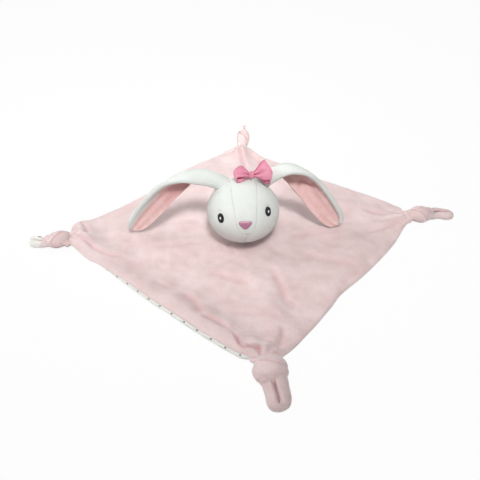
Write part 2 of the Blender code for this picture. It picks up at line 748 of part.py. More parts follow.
# Face

def skin_frame(direction):
    """The skin's place there, with its sideways and its upward direction."""
    place = head_point(direction)
    normal = Vector((direction[0] / HEAD_SIZES.x, direction[1] / HEAD_SIZES.y, direction[2] / HEAD_SIZES.z))
    normal.normalize()
    across = Vector((0.0, 0.0, 1.0)).cross(normal).normalized()
    return place, across, normal.cross(across)


def on_skin(place, offset):
    """The skin's place, or offset from it, nearest along the line from the head's middle."""
    away = place - HEAD_CENTRE
    return head_point((away.x / HEAD_SIZES.x, away.y / HEAD_SIZES.y, away.z / HEAD_SIZES.z), offset)


def skin_patch(name, direction, width, height, tilt, lift, thickness, taper, colour, group, parent):
    """An embroidered patch that follows the skin; taper narrows it towards the bottom."""
    bm = bmesh.new()
    bmesh.ops.create_circle(bm, cap_ends=True, cap_tris=True, segments=20, radius=1.0)
    place, across, up = skin_frame(direction)
    turn = math.radians(tilt)
    for vert in bm.verts:
        x = vert.co.x * width / 2.0 * (1.0 + taper * vert.co.y)
        y = vert.co.y * height / 2.0
        x, y = x * math.cos(turn) - y * math.sin(turn), x * math.sin(turn) + y * math.cos(turn)
        vert.co = on_skin(place + across * x + up * y, lift)
    outwards(bm)
    obj = add_object(name, mesh_from(bm, name), group, colour, 0.6, parent)
    thicken(obj, thickness, 1.0)
    return obj


def skin_stitch(name, direction, length, tilt, droop, colour, group, parent):
    """One short thread on the skin, bowed down at its ends by droop."""
    place, across, up = skin_frame(direction)
    turn = math.radians(tilt)
    curve = bpy.data.curves.new(name, "CURVE")
    curve.dimensions = "3D"
    curve.bevel_depth = STITCH_RADIUS
    curve.bevel_resolution = 1
    curve.use_fill_caps = True
    spline = curve.splines.new("POLY")
    count = 5
    spline.points.add(count - 1)
    for i, point in enumerate(spline.points):
        along = (i / (count - 1) - 0.5) * length
        down = -droop * (2.0 * along / length) ** 2
        x = along * math.cos(turn) - down * math.sin(turn)
        y = along * math.sin(turn) + down * math.cos(turn)
        skin = on_skin(place + across * x + up * y, GAP + STITCH_RADIUS)
        point.co = (*skin, 1.0)
    return add_object(name, curve, group, colour, parent=parent)


def make_face(group, parent):
    for name in ("left", "right"):
        direction, tilt = EYE_DIRECTIONS[name], EYE_TILTS[name]
        skin_patch("eye_" + name, direction, EYE_WIDTH, EYE_HEIGHT, tilt, GAP, EYE_THICKNESS, 0.0,
                   THREAD_BLACK, group, parent)
        skin_patch("eye_highlight_" + name, direction, HIGHLIGHT_WIDTH, HIGHLIGHT_HEIGHT, tilt,
                   GAP + EYE_THICKNESS + GAP, HIGHLIGHT_THICKNESS, 0.0, THREAD_WHITE, group, parent)
        skin_stitch("lash_" + name, LASH_DIRECTIONS[name], LASH_LENGTH, -tilt, LASH_LENGTH * 0.2,
                    THREAD_GREY, group, parent)
    skin_patch("nose", NOSE_DIRECTION, NOSE_WIDTH, NOSE_HEIGHT, 0.0, GAP, NOSE_THICKNESS, 0.5, NOSE_MAUVE,
               group, parent)
    skin_patch("nose_band", NOSE_BAND_DIRECTION, NOSE_WIDTH * 0.9, NOSE_BAND_HEIGHT, 0.0, GAP,
               NOSE_THICKNESS, 0.0, NOSE_PALE, group, parent)
    skin_stitch("mouth_stitch", MOUTH_DIRECTION, MOUTH_WIDTH, 0.0, -MOUTH_WIDTH * 0.15, THREAD_BROWN, group,
                parent)


# Ears

def ear_station(shares, along):
    """Place, width, curl and roll at along from 0 to 1, on a smooth run through the table."""
    spot = along * (len(shares) - 1)
    i = min(int(spot), len(shares) - 2)
    f = spot - i
    rows = [shares[max(0, i - 1)], shares[i], shares[i + 1], shares[min(len(shares) - 1, i + 2)]]
    a, b, c, d = (Vector((*place, width, curl, roll)) for place, width, curl, roll in rows)
    slope = (c - a) * (f / 2.0)
    bend = (a * 2.0 - b * 5.0 + c * 4.0 - d) * (f * f / 2.0)
    twist = (b * 3.0 - a - c * 3.0 + d) * (f * f * f / 2.0)
    return b + slope + bend + twist


def ear_sheet(name, shares, side, inset, thickness, colour, group, parent, cutter):
    """One layer of an ear: its section is an arc that opens downwards at the root and forwards later.
    The lining, which has an inset, stops one column short of each edge and one row short of the tip."""
    last = EAR_STEPS - 1
    places = []
    for i in range(EAR_STEPS):
        row = ear_station(shares, i / last)
        places.append(HEAD_CENTRE + Vector(row[:3]) * EAR_LENGTH)
    bm = bmesh.new()
    bmesh.ops.create_grid(bm, x_segments=EAR_STEPS - 1, y_segments=EAR_COLUMNS - 1, size=0.5)
    if inset > 0.0:
        column, row = 1.0 / (EAR_COLUMNS - 1), 1.0 / last
        spare = [v for v in bm.verts if abs(v.co.y) > 0.5 - column / 2.0 or v.co.x > 0.5 - row / 2.0]
        bmesh.ops.delete(bm, geom=spare, context="VERTS")
    for vert in bm.verts:
        along = vert.co.x + 0.5
        i = round(along * last)
        width, curl, roll = ear_station(shares, along)[3:]
        width, curl, roll = width * EAR_WIDTH, math.radians(curl), math.radians(roll)
        tangent = (places[min(i + 1, last)] - places[max(i - 1, 0)]).normalized()
        inner = Vector((0.0, 1.0, 0.0)).cross(tangent) * side
        inner.normalize()
        front = inner.cross(tangent).normalized() * side
        opening = inner * math.cos(roll) + front * math.sin(roll)
        across = tangent.cross(opening)
        radius = width / curl
        middle = radius * (1.0 - math.sin(curl / 2.0) / (curl / 2.0))
        angle = vert.co.y * curl
        arm = radius - inset
        outwards_from_arc = opening * (radius - middle - arm * math.cos(angle))
        vert.co = places[i] + across * (arm * math.sin(angle)) + outwards_from_arc
    bm.normal_update()
    bmesh.ops.recalc_face_normals(bm, faces=bm.faces)
    face = max(bm.faces, key=lambda f: f.calc_center_median().z)
    if face.normal.z < 0.0:
        bmesh.ops.reverse_faces(bm, faces=bm.faces)
    obj = add_object(name, mesh_from(bm, name), group, colour, parent=parent)
    thicken(obj, thickness, 1.0 if inset == 0.0 else -1.0)
    cut(obj, cutter)
    return obj


def make_ear(name, shares, side, group, parent, cutter):
    ear_sheet("ear_outer_" + name, shares, side, 0.0, EAR_OUTER_THICKNESS, WHITE_PLUSH, group, parent,
              cutter)
    ear_sheet("ear_lining_" + name, shares, side, GAP, EAR_LINING_THICKNESS, LINING_PINK, group, parent,
              cutter)


# Bow

def bow_frame():
    place = head_point(BOW_DIRECTION, BOW_ABOVE_HEAD)
    return Matrix.Translation(place)


def make_bow_loop(name, group, parent):
    """A flattened ring of ribbon, narrow at the wrap and wide at its outer fold."""
    loop = BOW_LOOPS[name]
    length = BOW_LOOP_LENGTH * loop["length_share"]
    width = RIBBON_WIDTH * loop["width_share"]
    start = BOW_WRAP_RADIUS + GAP + RIBBON_THICKNESS
    around, across = 18, 4
    bm = bmesh.new()
    bmesh.ops.create_cone(bm, cap_ends=False, segments=around, radius1=1.0, radius2=1.0, depth=1.0)
    lengthways = [e for e in bm.edges if abs(e.verts[0].co.z - e.verts[1].co.z) > 0.5]
    bmesh.ops.subdivide_edges(bm, edges=lengthways, cuts=across - 1)
    lean = Matrix.Rotation(-math.radians(loop["lean"]), 4, "X")
    rise = Matrix.Rotation(-math.radians(loop["rise"]) * loop["side"], 4, "Y")
    swing = Matrix.Rotation(-math.radians(loop["swing"]) * loop["side"], 4, "Z")
    place = bow_frame() @ swing @ rise @ lean
    for vert in bm.verts:
        out = (vert.co.x + 1.0) / 2.0
        x = start + (length - start) * out
        y = vert.co.y * BOW_LOOP_DEPTH / 2.0 * (0.45 + 0.55 * out)
        flare = RIBBON_WAIST + (width - RIBBON_WAIST) * smooth_step(out * 1.15)
        z = vert.co.z * flare + width * loop["shift_share"] * out
        vert.co = place @ Vector((x * loop["side"], y, z))
    bm.normal_update()
    bmesh.ops.recalc_face_normals(bm, faces=bm.faces)
    obj = add_object("bow_loop_" + name, mesh_from(bm, name), group, RIBBON_PINK, 0.5, parent)
    thicken(obj, RIBBON_THICKNESS, 0.0)
    return obj


def make_bow_wrap(name, group, parent):
    bm = bmesh.new()
    bmesh.ops.create_cone(bm, cap_ends=True, segments=14, radius1=BOW_WRAP_RADIUS, radius2=BOW_WRAP_RADIUS,
                          depth=BOW_WRAP_HEIGHT)
    lean = Matrix.Rotation(-math.radians(BOW_LOOPS["right"]["lean"]), 4, "X")
    bmesh.ops.transform(bm, matrix=bow_frame() @ lean, verts=bm.verts)
    return add_object(name, mesh_from(bm, name), group, RIBBON_DEEP, 0.5, parent)


def make_bow_stitch(name, group, parent):
    """The thread that tacks the bow down, from the skin to the underside of the wrap."""
    lean = math.radians(BOW_LOOPS["right"]["lean"])
    upright = Vector((0.0, math.sin(lean), math.cos(lean)))
    high = head_point(BOW_DIRECTION, BOW_ABOVE_HEAD) - upright * (BOW_WRAP_HEIGHT / 2.0 + GAP * 2.0)
    low = on_skin(high, GAP * 2.0)
    curve = bpy.data.curves.new(name, "CURVE")
    curve.dimensions = "3D"
    curve.bevel_depth = BOW_STITCH_RADIUS
    curve.bevel_resolution = 2
    curve.use_fill_caps = True
    spline = curve.splines.new("POLY")
    spline.points.add(1)
    spline.points[0].co = (*low, 1.0)
    spline.points[1].co = (*high, 1.0)
    return add_object(name, curve, group, THREAD_WHITE, parent=parent)


def main():
    clear_scene()
    parts = collection_named(COLLECTION_NAME)
    cutters = collection_named(CUTTER_COLLECTION_NAME)

    blanket = joint_empty("blanket_body", (0.0, 0.0, 0.0), None, parts)
    neck = joint_empty("head_turn_axis", HEAD_CENTRE, blanket, parts)
    head = joint_empty("head_nod_axis", HEAD_CENTRE, neck, parts)

    ground = floor_cutter(cutters)
    panel_sheet("top_panel", 1, parts, blanket, PINK_VELOUR, TOP_PANEL_THICKNESS)
    backing = panel_sheet("backing_panel", -1, parts, blanket, WHITE_JERSEY, BACKING_THICKNESS)
    cut(backing, ground)
    edge_thread("edge_thread", parts, blanket)

    for name in CORNERS:
        neck_at = neck_place(name)
        hinge_place = (neck_at.x, neck_at.y, hinge_height(name))
        corner = joint_empty("corner_axis_" + name, hinge_place, blanket, parts)
        make_knot(name, parts, corner)
        make_tail(name, parts, corner)

    make_neck_base("neck_base", parts, neck, nod_cutter("nod_cutter", cutters))
    make_neck_stitch("neck_stitch", parts, neck)

    make_stuffing("head_stuffing", parts, head)
    head_gusset("head_gusset", parts, head)
    head_side("head_side_left", -1, parts, head)
    head_side("head_side_right", 1, parts, head)
    make_face(parts, head)

    root_cutter = head_cutter("ear_root_cutter", cutters, EAR_ROOT_CLEARANCE)
    for name, shares, side in (("left", LEFT_EAR_SHARES, -1), ("right", RIGHT_EAR_SHARES, 1)):
        axis = joint_empty("ear_axis_" + name, head_point(EAR_AXIS_DIRECTIONS[name]), head, parts)
        make_ear(name, shares, side, parts, axis, root_cutter)

    bow = joint_empty("bow_axis", head_point(BOW_DIRECTION), head, parts)
    for name in BOW_LOOPS:
        make_bow_loop(name, parts, bow)
    make_bow_wrap("bow_wrap", parts, bow)
    make_bow_stitch("bow_stitch", parts, bow)


main()
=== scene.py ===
"""Comfort blanket: a stuffed rabbit head sewn to the middle of a square of velour, with lined ears, a
ribbon bow and four knotted corners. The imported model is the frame, and cloth, pile, stitching and
stuffing are made round it here. Metres, +Z up. The face looks along -Y, and left and right are those of
someone who looks at the face."""

import math

import bmesh
import bpy
from bpy.props import FloatProperty, FloatVectorProperty, PointerProperty
from mathutils import Matrix, Vector, noise


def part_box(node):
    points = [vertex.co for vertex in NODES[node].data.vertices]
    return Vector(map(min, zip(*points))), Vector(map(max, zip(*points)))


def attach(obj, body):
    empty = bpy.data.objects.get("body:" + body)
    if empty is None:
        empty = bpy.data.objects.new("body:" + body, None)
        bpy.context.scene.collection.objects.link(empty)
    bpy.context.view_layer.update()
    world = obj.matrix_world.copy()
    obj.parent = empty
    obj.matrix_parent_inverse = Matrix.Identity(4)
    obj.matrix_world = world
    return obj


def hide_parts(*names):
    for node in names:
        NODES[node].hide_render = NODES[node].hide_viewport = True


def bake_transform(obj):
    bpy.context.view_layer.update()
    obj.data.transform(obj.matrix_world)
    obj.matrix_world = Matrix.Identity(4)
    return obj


bl_info = {
    "name": "Comfort blanket",
    "version": (1, 0, 0),
    "blender": (4, 5, 0),
    "location": "3D View > Sidebar > Comfort blanket",
    "description": "Cloth, pile, stitching and stuffing for a comfort blanket with a rabbit head",
    "category": "Object",
}

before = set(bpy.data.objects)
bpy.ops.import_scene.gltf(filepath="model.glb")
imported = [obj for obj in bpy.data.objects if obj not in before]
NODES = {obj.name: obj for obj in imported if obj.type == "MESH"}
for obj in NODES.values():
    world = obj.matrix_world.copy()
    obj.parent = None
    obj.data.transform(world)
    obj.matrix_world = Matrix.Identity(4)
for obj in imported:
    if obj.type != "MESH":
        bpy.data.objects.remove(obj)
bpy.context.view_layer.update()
MM = 0.001
WHITE = (1.0, 1.0, 1.0)

# Blanket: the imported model's own form, in metres
PANEL_CENTRE = Vector((-0.005, 0.0115))
NECK_REACH = 0.200
PANEL_PARTING = 0.00115
CORNER_LIFT = 0.0070
CORNER_SPREAD = 0.042
EDGE_ROW = 0.010
EDGE_WAVE = 0.008
EDGE_WAVE_SPREAD = 0.060
FOLD_HEIGHT = 0.0048
FOLD_WIDTH = 0.016
GROUND = 0.0002
CLOTHS_DEPTH = 0.0021
CORNER_CUT = 0.0105
EDGE_FINE_DEPTH = 0.0042
GATHER_REACH = 0.050
GATHER_HEIGHT = 0.0012
SEAM_END = 0.012
SEAM_POINTS = 360
EDGE_CELLS = 7
PANEL_CELLS = 200
BACKING_CELLS = 120

# The four corners: the corner of the flat panel in half diagonals, the neck in NECK_REACH, the way the
# knotted strip points from its neck, the sizes of its knot and tail, how wide the panel ends there and
# from how far it is drawn in, both in mm.
CORNERS = {
    "left": {"corner": (-1.003, -0.023), "neck": (-1.010, -0.065), "heading": 180.0, "reach": 0.87,
             "knot": 0.86, "lobe": 0.80, "tip_rise": 0.05, "root": 0.70, "width": 20.0, "spread": 30.0},
    "front": {"corner": (-0.023, -1.003), "neck": (0.0, -1.010), "heading": 277.0, "reach": 1.115,
              "knot": 1.04, "lobe": 1.18, "tip_rise": 0.0, "root": 0.80, "width": 25.0, "spread": 28.0},
    "right": {"corner": (1.007, 0.028), "neck": (0.990, 0.020), "heading": 8.0, "reach": 1.13,
              "knot": 0.94, "lobe": 0.98, "tip_rise": 0.02, "root": 0.66, "width": 18.0, "spread": 32.0},
    "back": {"corner": (0.023, 0.998), "neck": (0.065, 0.985), "heading": 79.0, "reach": 0.78,
             "knot": 0.86, "lobe": 0.40, "tip_rise": 0.48, "root": 0.50, "width": 14.0, "spread": 36.0},
}

# From what share of its length a tail's tip shows the backing, and how far round each tail's slit lies
# from straight up.
TAIL_TIPS = {"left": 0.45, "back": 0.36}
TAIL_LEANS = {"left": -0.5, "front": 0.30, "right": 0.6, "back": 0.0}

# Each knot: where it starts and ends along the strip in mm, its breadth, how much it tapers, how far its
# outer end rises in mm, how far its wraps slant, and how fully it starts.
KNOT_FORMS = {
    "left": (-4.6, 26.6, 1.06, 0.40, 0.0, 0.28, 2.6),
    "front": (1.2, 28.4, 1.10, 0.0, 0.0, -0.13, 2.6),
    "right": (-2.6, 31.0, 1.0, 0.30, 0.0, 0.0, 1.5),
    "back": (1.5, 28.5, 0.84, 0.05, 10.0, 0.0, 2.0),
}

# How far the strip sways to its left at a share of its reach, in mm.
SWAYS = {
    "left": [(0.0, 0.0), (1.0, 0.0)],
    "front": [(0.0, 0.4), (0.11, 1.2), (0.22, 1.8), (0.33, 2.3), (0.45, 2.8), (0.58, 3.0), (0.75, 2.6),
              (0.9, 1.8), (1.0, 1.2)],
    "right": [(0.0, -1.0), (0.3, -2.6), (0.5, -1.0), (0.64, 0.6), (0.8, -4.4), (1.0, -8.0)],
    "back": [(0.0, 0.0), (1.0, 0.0)],
}
THROAT_LENGTH = 0.0025
TAIL_REACH = 0.0465
TAIL_WAIST_RADIUS = 0.0049
TAIL_LOBE_RADIUS = 0.0088
TAIL_FLATNESS = 0.70
KNOT_RADIUS = 0.0133
KNOT_LENGTH = 0.0200
KNOT_FLATNESS = 0.78
KNOT_END_FULLNESS = 2.6

# Furrows between the wraps of each knot, also painted darker as shade: place along it, lead, depth
# and width in the knot's radius.
KNOT_FURROWS = {
    "left": [(-0.55, 0.55, 0.12, 0.06), (-0.10, 0.60, 0.10, 0.05), (0.28, 0.62, 0.10, 0.05),
             (0.66, 0.5, 0.09, 0.05)],
    "front": [(-0.34, 0.70, 0.11, 0.07), (0.74, 0.20, 0.05, 0.06)],
    "right": [(-0.30, 0.50, 0.12, 0.06), (0.42, 0.50, 0.11, 0.05)],
    "back": [(-0.15, 0.45, 0.15, 0.07), (0.55, 0.35, 0.12, 0.06)],
}

# How far each edge strays outwards from a straight line, in EDGE_WAVE, at a share of its length.
EDGE_WAVES = {
    "front_left": [(0.0, 0.0), (0.08, -0.40), (0.22, -0.20), (0.40, -0.05), (0.62, 0.15), (0.74, 0.12),
                   (0.86, -0.05), (0.94, -0.20), (1.0, 0.0)],
    "front_right": [(0.0, 0.0), (0.10, 0.30), (0.22, 0.18), (0.34, 0.0), (0.42, -0.34), (0.54, -0.10),
                    (0.68, -0.12), (0.78, -0.40), (0.90, -1.00), (0.96, -0.50), (1.0, 0.0)],
    "back_right": [(0.0, 0.0), (0.04, -0.35), (0.085, -0.40), (0.13, 0.15), (0.18, 0.50), (0.26, 0.35),
                   (0.38, 0.0), (0.50, -0.35), (0.70, -0.30), (0.86, -0.45), (0.94, -0.30), (1.0, 0.0)],
    "back_left": [(0.0, 0.0), (0.08, -0.55), (0.18, -0.20), (0.28, 0.25), (0.42, 0.20), (0.54, -0.40),
                  (0.70, -0.30), (0.82, 0.20), (0.90, 0.50), (1.0, 0.0)],
}

# Broad folds of both layers: ends in half diagonals, height in FOLD_HEIGHT and width in FOLD_WIDTH.
FOLDS = [
    ((-0.89, 0.10), (-0.82, -0.06), 1.00, 0.8),
    ((-0.80, -0.10), (-0.66, -0.19), 0.55, 0.8),
    ((-0.36, -0.58), (-0.12, -0.80), 1.00, 1.0),
    ((-0.72, -0.26), (-0.45, -0.48), 0.50, 0.9),
    ((0.28, -0.62), (0.62, -0.22), 0.75, 1.1),
    ((0.02, -0.42), (0.10, -0.76), 0.55, 1.0),
    ((0.70, 0.12), (0.50, 0.26), 0.60, 0.9),
    ((0.05, 0.84), (0.02, 0.56), 0.90, 0.8),
    ((-0.42, 0.44), (-0.18, 0.68), 0.45, 1.2),
]

# Creases of the velour: the line in mm, how deep, how wide, and how high the cloth stands beside it, to
# the left of the line's direction, all in mm. Each crease is also painted darker as shade, more for a
# deeper one.
CREASES = [
    ([(-197, 35), (-190, 24), (-186, 12), (-187, 3)], 1.9, 2.6, -1.6),
    ([(-200, 9), (-189, -3), (-177, -15), (-167, -23), (-157, -33), (-136, -36)], 1.3, 3.0, 1.0),
    ([(-115, -15), (-94, -15), (-66, -11), (-46, -11)], 0.5, 4.6, -0.2),
    ([(-135, -41), (-125, -58)], 0.7, 6.0, 0.0),
    ([(-105, -77), (-96, -85), (-88, -93)], 0.7, 3.4, 0.5),
    ([(-76, -98), (-66, -114), (-58, -134)], 1.7, 6.0, 0.8),
    ([(-58, -134), (-43, -144), (-33, -153)], 1.3, 3.4, 0.9),
    ([(-30, -158), (-27, -166), (-26, -174), (-22, -180), (-13, -180.5), (-8, -182), (-8, -191)],
     3.6, 1.9, 1.5),
    ([(-50, -64), (-27, -75), (-8, -88)], 0.8, 5.0, 0.5),
    ([(-34, -126), (-13, -129), (5, -132), (19, -137)], 0.5, 5.0, 0.3),
    ([(-22, -165), (-8, -164), (5, -171), (15, -180)], 0.8, 2.8, -0.8),
    ([(17, -60), (25, -98), (25, -111), (36, -126)], 1.0, 4.6, 0.6),
    ([(43, -6), (82, -3), (108, -1)], 0.5, 5.5, 0.2),
    ([(50, -42), (86, -54), (106, -70)], 0.7, 6.0, 0.3),
    ([(84, -95), (112, -76)], 0.6, 4.0, 0.4),
    ([(-27, -23), (-21, -15)], 1.0, 2.4, 0.4),
    ([(-21, -34), (-23, -20)], 0.9, 2.4, 0.3),
    ([(-12, -28), (-19, -20)], 0.7, 2.4, 0.3),
    ([(3.5, 205), (5, 184), (9, 150)], 1.6, 3.2, 0.9),
    ([(16, 204), (22, 186), (34, 166)], 0.9, 3.4, 0.5),
    ([(183, 22), (166, 26), (140, 40)], 1.0, 3.4, 0.5),
    ([(181, 8), (160, 0), (134, -8)], 0.8, 3.6, 0.5),
    ([(8, -180), (16, -160), (18, -148)], 0.9, 3.2, 0.4),
]
CREASE_REACH = 6.0

# The front left edge stands up off the ground and shows the backing.
LIP_LIFT = 0.0060
LIP_WINDOW = [(0.0, 0.0), (0.06, 0.0), (0.16, 0.22), (0.30, 0.75), (0.45, 1.0), (0.93, 1.0), (0.98, 0.3),
              (1.0, 0.0)]
LIP_SETBACK = 0.0024
LIP_SPREAD = 0.045
DIAGONAL = 0.7071

# Head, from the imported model
HEAD_SIZES = Vector((0.0401, 0.04135, 0.0339))
HEAD_CENTRE = Vector((-0.0078, -0.0040, 0.0405))
CHEEK_SHARE = 0.035
MUZZLE_SHARE = 0.045
BAND = math.radians(22.5)
GUSSET_ANGLES = [(-75.0, 0.0), (-45.0, 11.0), (0.0, 19.0), (90.0, 21.5), (150.0, 17.0), (180.0, 11.5),
                 (195.0, 0.0)]
EYE_DIRECTIONS = {"left": (-0.670, -0.70, 0.280), "right": (0.640, -0.68, 0.435)}
EYE_TILTS = {"left": 34.0, "right": -34.0}
NOSE_DIRECTION = (-0.03, -0.97, 0.235)
NOSE_BAND_DIRECTION = (-0.03, -0.945, 0.330)
MOUTH_DIRECTION = (0.02, -1.0, -0.07)
BOW_DIRECTION = (0.250, 0.17, 0.95)
HIGHLIGHT_SIZE = (0.0017, 0.0028)
THREAD_POINTS = 7
LADDER_STITCHES = 40

# Lash stitches: direction of each one's middle, its length in mm, its tilt and its bow.
LASHES = {
    "left": [((-0.735, -0.55, 0.475), 2.6, 38.0), ((-0.690, -0.56, 0.480), 2.8, 14.0),
             ((-0.640, -0.585, 0.470), 2.6, -8.0)],
    "right": [((0.605, -0.56, 0.590), 2.8, 100.0), ((0.640, -0.54, 0.575), 3.4, 76.0),
              ((0.680, -0.52, 0.540), 2.6, 52.0)],
}

# Ears from root to tip: place from the head's middle in ear lengths, width in ear widths, the angle the
# section curls through, and how far its open side is rolled from underneath to the front.
EARS = {
    "left": [
        ((-0.090, 0.105, 0.150), 0.72, 240.0, 0.0),
        ((-0.210, 0.120, 0.228), 0.74, 225.0, 6.0),
        ((-0.340, 0.128, 0.258), 0.80, 195.0, 22.0),
        ((-0.460, 0.132, 0.236), 0.82, 155.0, 48.0),
        ((-0.580, 0.130, 0.138), 0.70, 92.0, 74.0),
        ((-0.702, 0.120, 0.004), 0.64, 68.0, 84.0),
        ((-0.816, 0.106, -0.120), 0.54, 56.0, 88.0),
        ((-0.898, 0.092, -0.208), 0.33, 42.0, 88.0),
    ],
    "right": [
        ((0.100, 0.105, 0.140), 0.66, 240.0, 0.0),
        ((0.212, 0.120, 0.238), 0.70, 215.0, 16.0),
        ((0.335, 0.128, 0.280), 0.82, 178.0, 42.0),
        ((0.448, 0.128, 0.222), 0.85, 136.0, 66.0),
        ((0.548, 0.114, 0.098), 0.76, 96.0, 82.0),
        ((0.642, 0.092, -0.036), 0.69, 72.0, 90.0),
        ((0.732, 0.068, -0.152), 0.57, 56.0, 92.0),
        ((0.800, 0.050, -0.222), 0.32, 42.0, 92.0),
    ],
}
EAR_ROWS = 80
EAR_COLUMNS = 46
EAR_HEM = 0.0011
EAR_HEM_START = 0.58

# How far each ear's plush is turned over the lining along its upper edge, in half widths.
EAR_RIMS = {"left": 0.52, "right": 0.17}

# Where the fold across each lining starts, in ear lengths, and how much it slants towards the tip.
# The fold is a step in the lining and a line of painted shade.
EAR_WRINKLES = {"left": (0.34, 0.12), "right": (0.53, 0.04)}
LINING_INSET = 0.0004

# Bow loops: length and outer width in the bow's sizes, how far the outer end shifts up in widths, how
# far the ribbon leans back from upright, how far the loop rises from level and swings forward, and how
# late its upper edge draws in.
BOW_LOOPS = {
    "left": {"side": -1, "length": 0.93, "width": 0.76, "shift": 0.13, "lean": 50.0, "rise": 8.0,
             "swing": 12.0, "point": 2.0},
    "right": {"side": 1, "length": 1.05, "width": 1.10, "shift": 0.15, "lean": 26.0, "rise": 8.0,
              "swing": 16.0, "point": 1.15},
}
BOW_ABOVE_HEAD = 0.0065
BOW_WRAP_LEAN = 38.0

# Camera and light
CAMERA_PLACE = (-0.0496, -0.4947, 0.3674)
CAMERA_YAW = 4.46
CAMERA_PITCH = 36.86
CAMERA_LENS = 40.0
FLOOR_GLOW = 0.95

# Lamps: place, what each points at, size, spread in degrees, power and colour.
LAMPS = {
    "key_softbox": ((0.02, -0.84, 1.24), (-0.03, 0.30, 0.0), 0.26, 41.0, 1.18, (1.0, 0.99, 0.98)),
    "side_softbox": ((-0.90, 0.36, 0.70), (0.0, 0.10, 0.0), 0.7, 180.0, 4.5, (1.0, 0.995, 0.99)),
}


def linear(code):
    """A colour's sRGB hex code as the linear values that Blender works in."""
    parts = (int(code[i:i + 2], 16) / 255.0 for i in (0, 2, 4))
    return tuple(c / 12.92 if c <= 0.04045 else ((c + 0.055) / 1.055) ** 2.4 for c in parts)


class BlanketSizes(bpy.types.PropertyGroup):
    """Sizes of the square and of its cloths."""

    panel_side: FloatProperty(name="Panel side", description="Side of the sewn square", default=0.306,
                              unit="LENGTH")
    velour_loft: FloatProperty(name="Velour loft", description="Height of the velour above the seam",
                               default=0.0022, unit="LENGTH")
    velour_thickness: FloatProperty(name="Velour thickness", description="Ground cloth and pile",
                                    default=0.0011, unit="LENGTH")
    backing_thickness: FloatProperty(name="Backing thickness", description="Thickness of the jersey",
                                     default=0.0006, unit="LENGTH")
    edge_roll: FloatProperty(name="Edge roll", description="Width of the rounding along the edges",
                             default=0.0036, unit="LENGTH")
    slack: FloatProperty(name="Slack", description="Height of the soft waves in the velour",
                         default=0.0024, unit="LENGTH")
    thread: FloatProperty(name="Seam thread", description="Radius of the thread in the edge seam",
                          default=0.00022, unit="LENGTH")


class HeadSizes(bpy.types.PropertyGroup):
    """Sizes of the stuffed head and of what is sewn on it."""

    seam_roll: FloatProperty(name="Seam roll", description="How wide the panels turn in at a seam",
                             default=0.0030, unit="LENGTH")
    plush_thickness: FloatProperty(name="Plush thickness", description="Ground cloth and pile",
                                   default=0.0012, unit="LENGTH")
    eye_width: FloatProperty(name="Eye width", description="Width of a stitched eye", default=0.0084,
                             unit="LENGTH")
    eye_height: FloatProperty(name="Eye height", description="Height of a stitched eye", default=0.0106,
                              unit="LENGTH")
    nose_width: FloatProperty(name="Nose width", description="Width of the stitched nose",
                              default=0.0170, unit="LENGTH")
    nose_height: FloatProperty(name="Nose height", description="Height of the stitched nose",
                               default=0.0090, unit="LENGTH")
    thread_pitch: FloatProperty(name="Thread pitch", description="Distance between satin stitches",
                                default=0.00042, unit="LENGTH")


class EarSizes(bpy.types.PropertyGroup):
    """Sizes of the lined ears."""

    length: FloatProperty(name="Length", description="Scale of the ears' run", default=0.140,
                          unit="LENGTH")
    width: FloatProperty(name="Width", description="Scale of the ears' width", default=0.044,
                         unit="LENGTH")
    outer_thickness: FloatProperty(name="Outer thickness", description="Plush on the outside",
                                   default=0.0018, unit="LENGTH")
    lining_thickness: FloatProperty(name="Lining thickness", description="Pink lining",
                                    default=0.0011, unit="LENGTH")


class BowSizes(bpy.types.PropertyGroup):
    """Sizes of the ribbon bow."""

    ribbon_width: FloatProperty(name="Ribbon width", description="Width of the ribbon's wide end",
                                default=0.022, unit="LENGTH")
    ribbon_waist: FloatProperty(name="Ribbon waist", description="Width where the wrap gathers it",
                                default=0.0075, unit="LENGTH")
    ribbon_thickness: FloatProperty(name="Ribbon thickness", description="Thickness of the ribbon",
                                    default=0.0007, unit="LENGTH")
    loop_length: FloatProperty(name="Loop length", description="Scale of the two loops' reach",
                               default=0.0215, unit="LENGTH")
    loop_depth: FloatProperty(name="Loop depth", description="How far a loop stands open",
                              default=0.0085, unit="LENGTH")


class BlanketColours(bpy.types.PropertyGroup):
    """Colours of the cloths and threads."""

    velour: FloatVectorProperty(name="Velour", description="Pink of the top panel", size=3,
                                subtype="COLOR", default=linear("EAD7D7"))
    jersey: FloatVectorProperty(name="Jersey", description="White of the backing", size=3,
                                subtype="COLOR", default=linear("EEEFEA"))
    dots: FloatVectorProperty(name="Dots", description="Grey of the backing's dots", size=3,
                              subtype="COLOR", default=linear("6F7272"))
    plush: FloatVectorProperty(name="Plush", description="White of the head and ears", size=3,
                               subtype="COLOR", default=linear("DADFDC"))
    lining: FloatVectorProperty(name="Lining", description="Pink inside the ears", size=3,
                                subtype="COLOR", default=linear("E9C9C7"))
    ribbon: FloatVectorProperty(name="Ribbon", description="Pink of the bow", size=3,
                                subtype="COLOR", default=linear("D98CA3"))
    nose: FloatVectorProperty(name="Nose", description="Mauve of the nose", size=3,
                              subtype="COLOR", default=linear("A86F8C"))
    nose_band: FloatVectorProperty(name="Nose band", description="Pale band of the nose", size=3,
                                   subtype="COLOR", default=linear("C9A3B4"))


GROUPS = {
    "blanket_sizes": BlanketSizes, "head_sizes": HeadSizes, "ear_sizes": EarSizes,
    "bow_sizes": BowSizes, "blanket_colours": BlanketColours,
}


# Numbers

def smooth_step(x):
    x = min(1.0, max(0.0, x))
    return x * x * (3.0 - 2.0 * x)


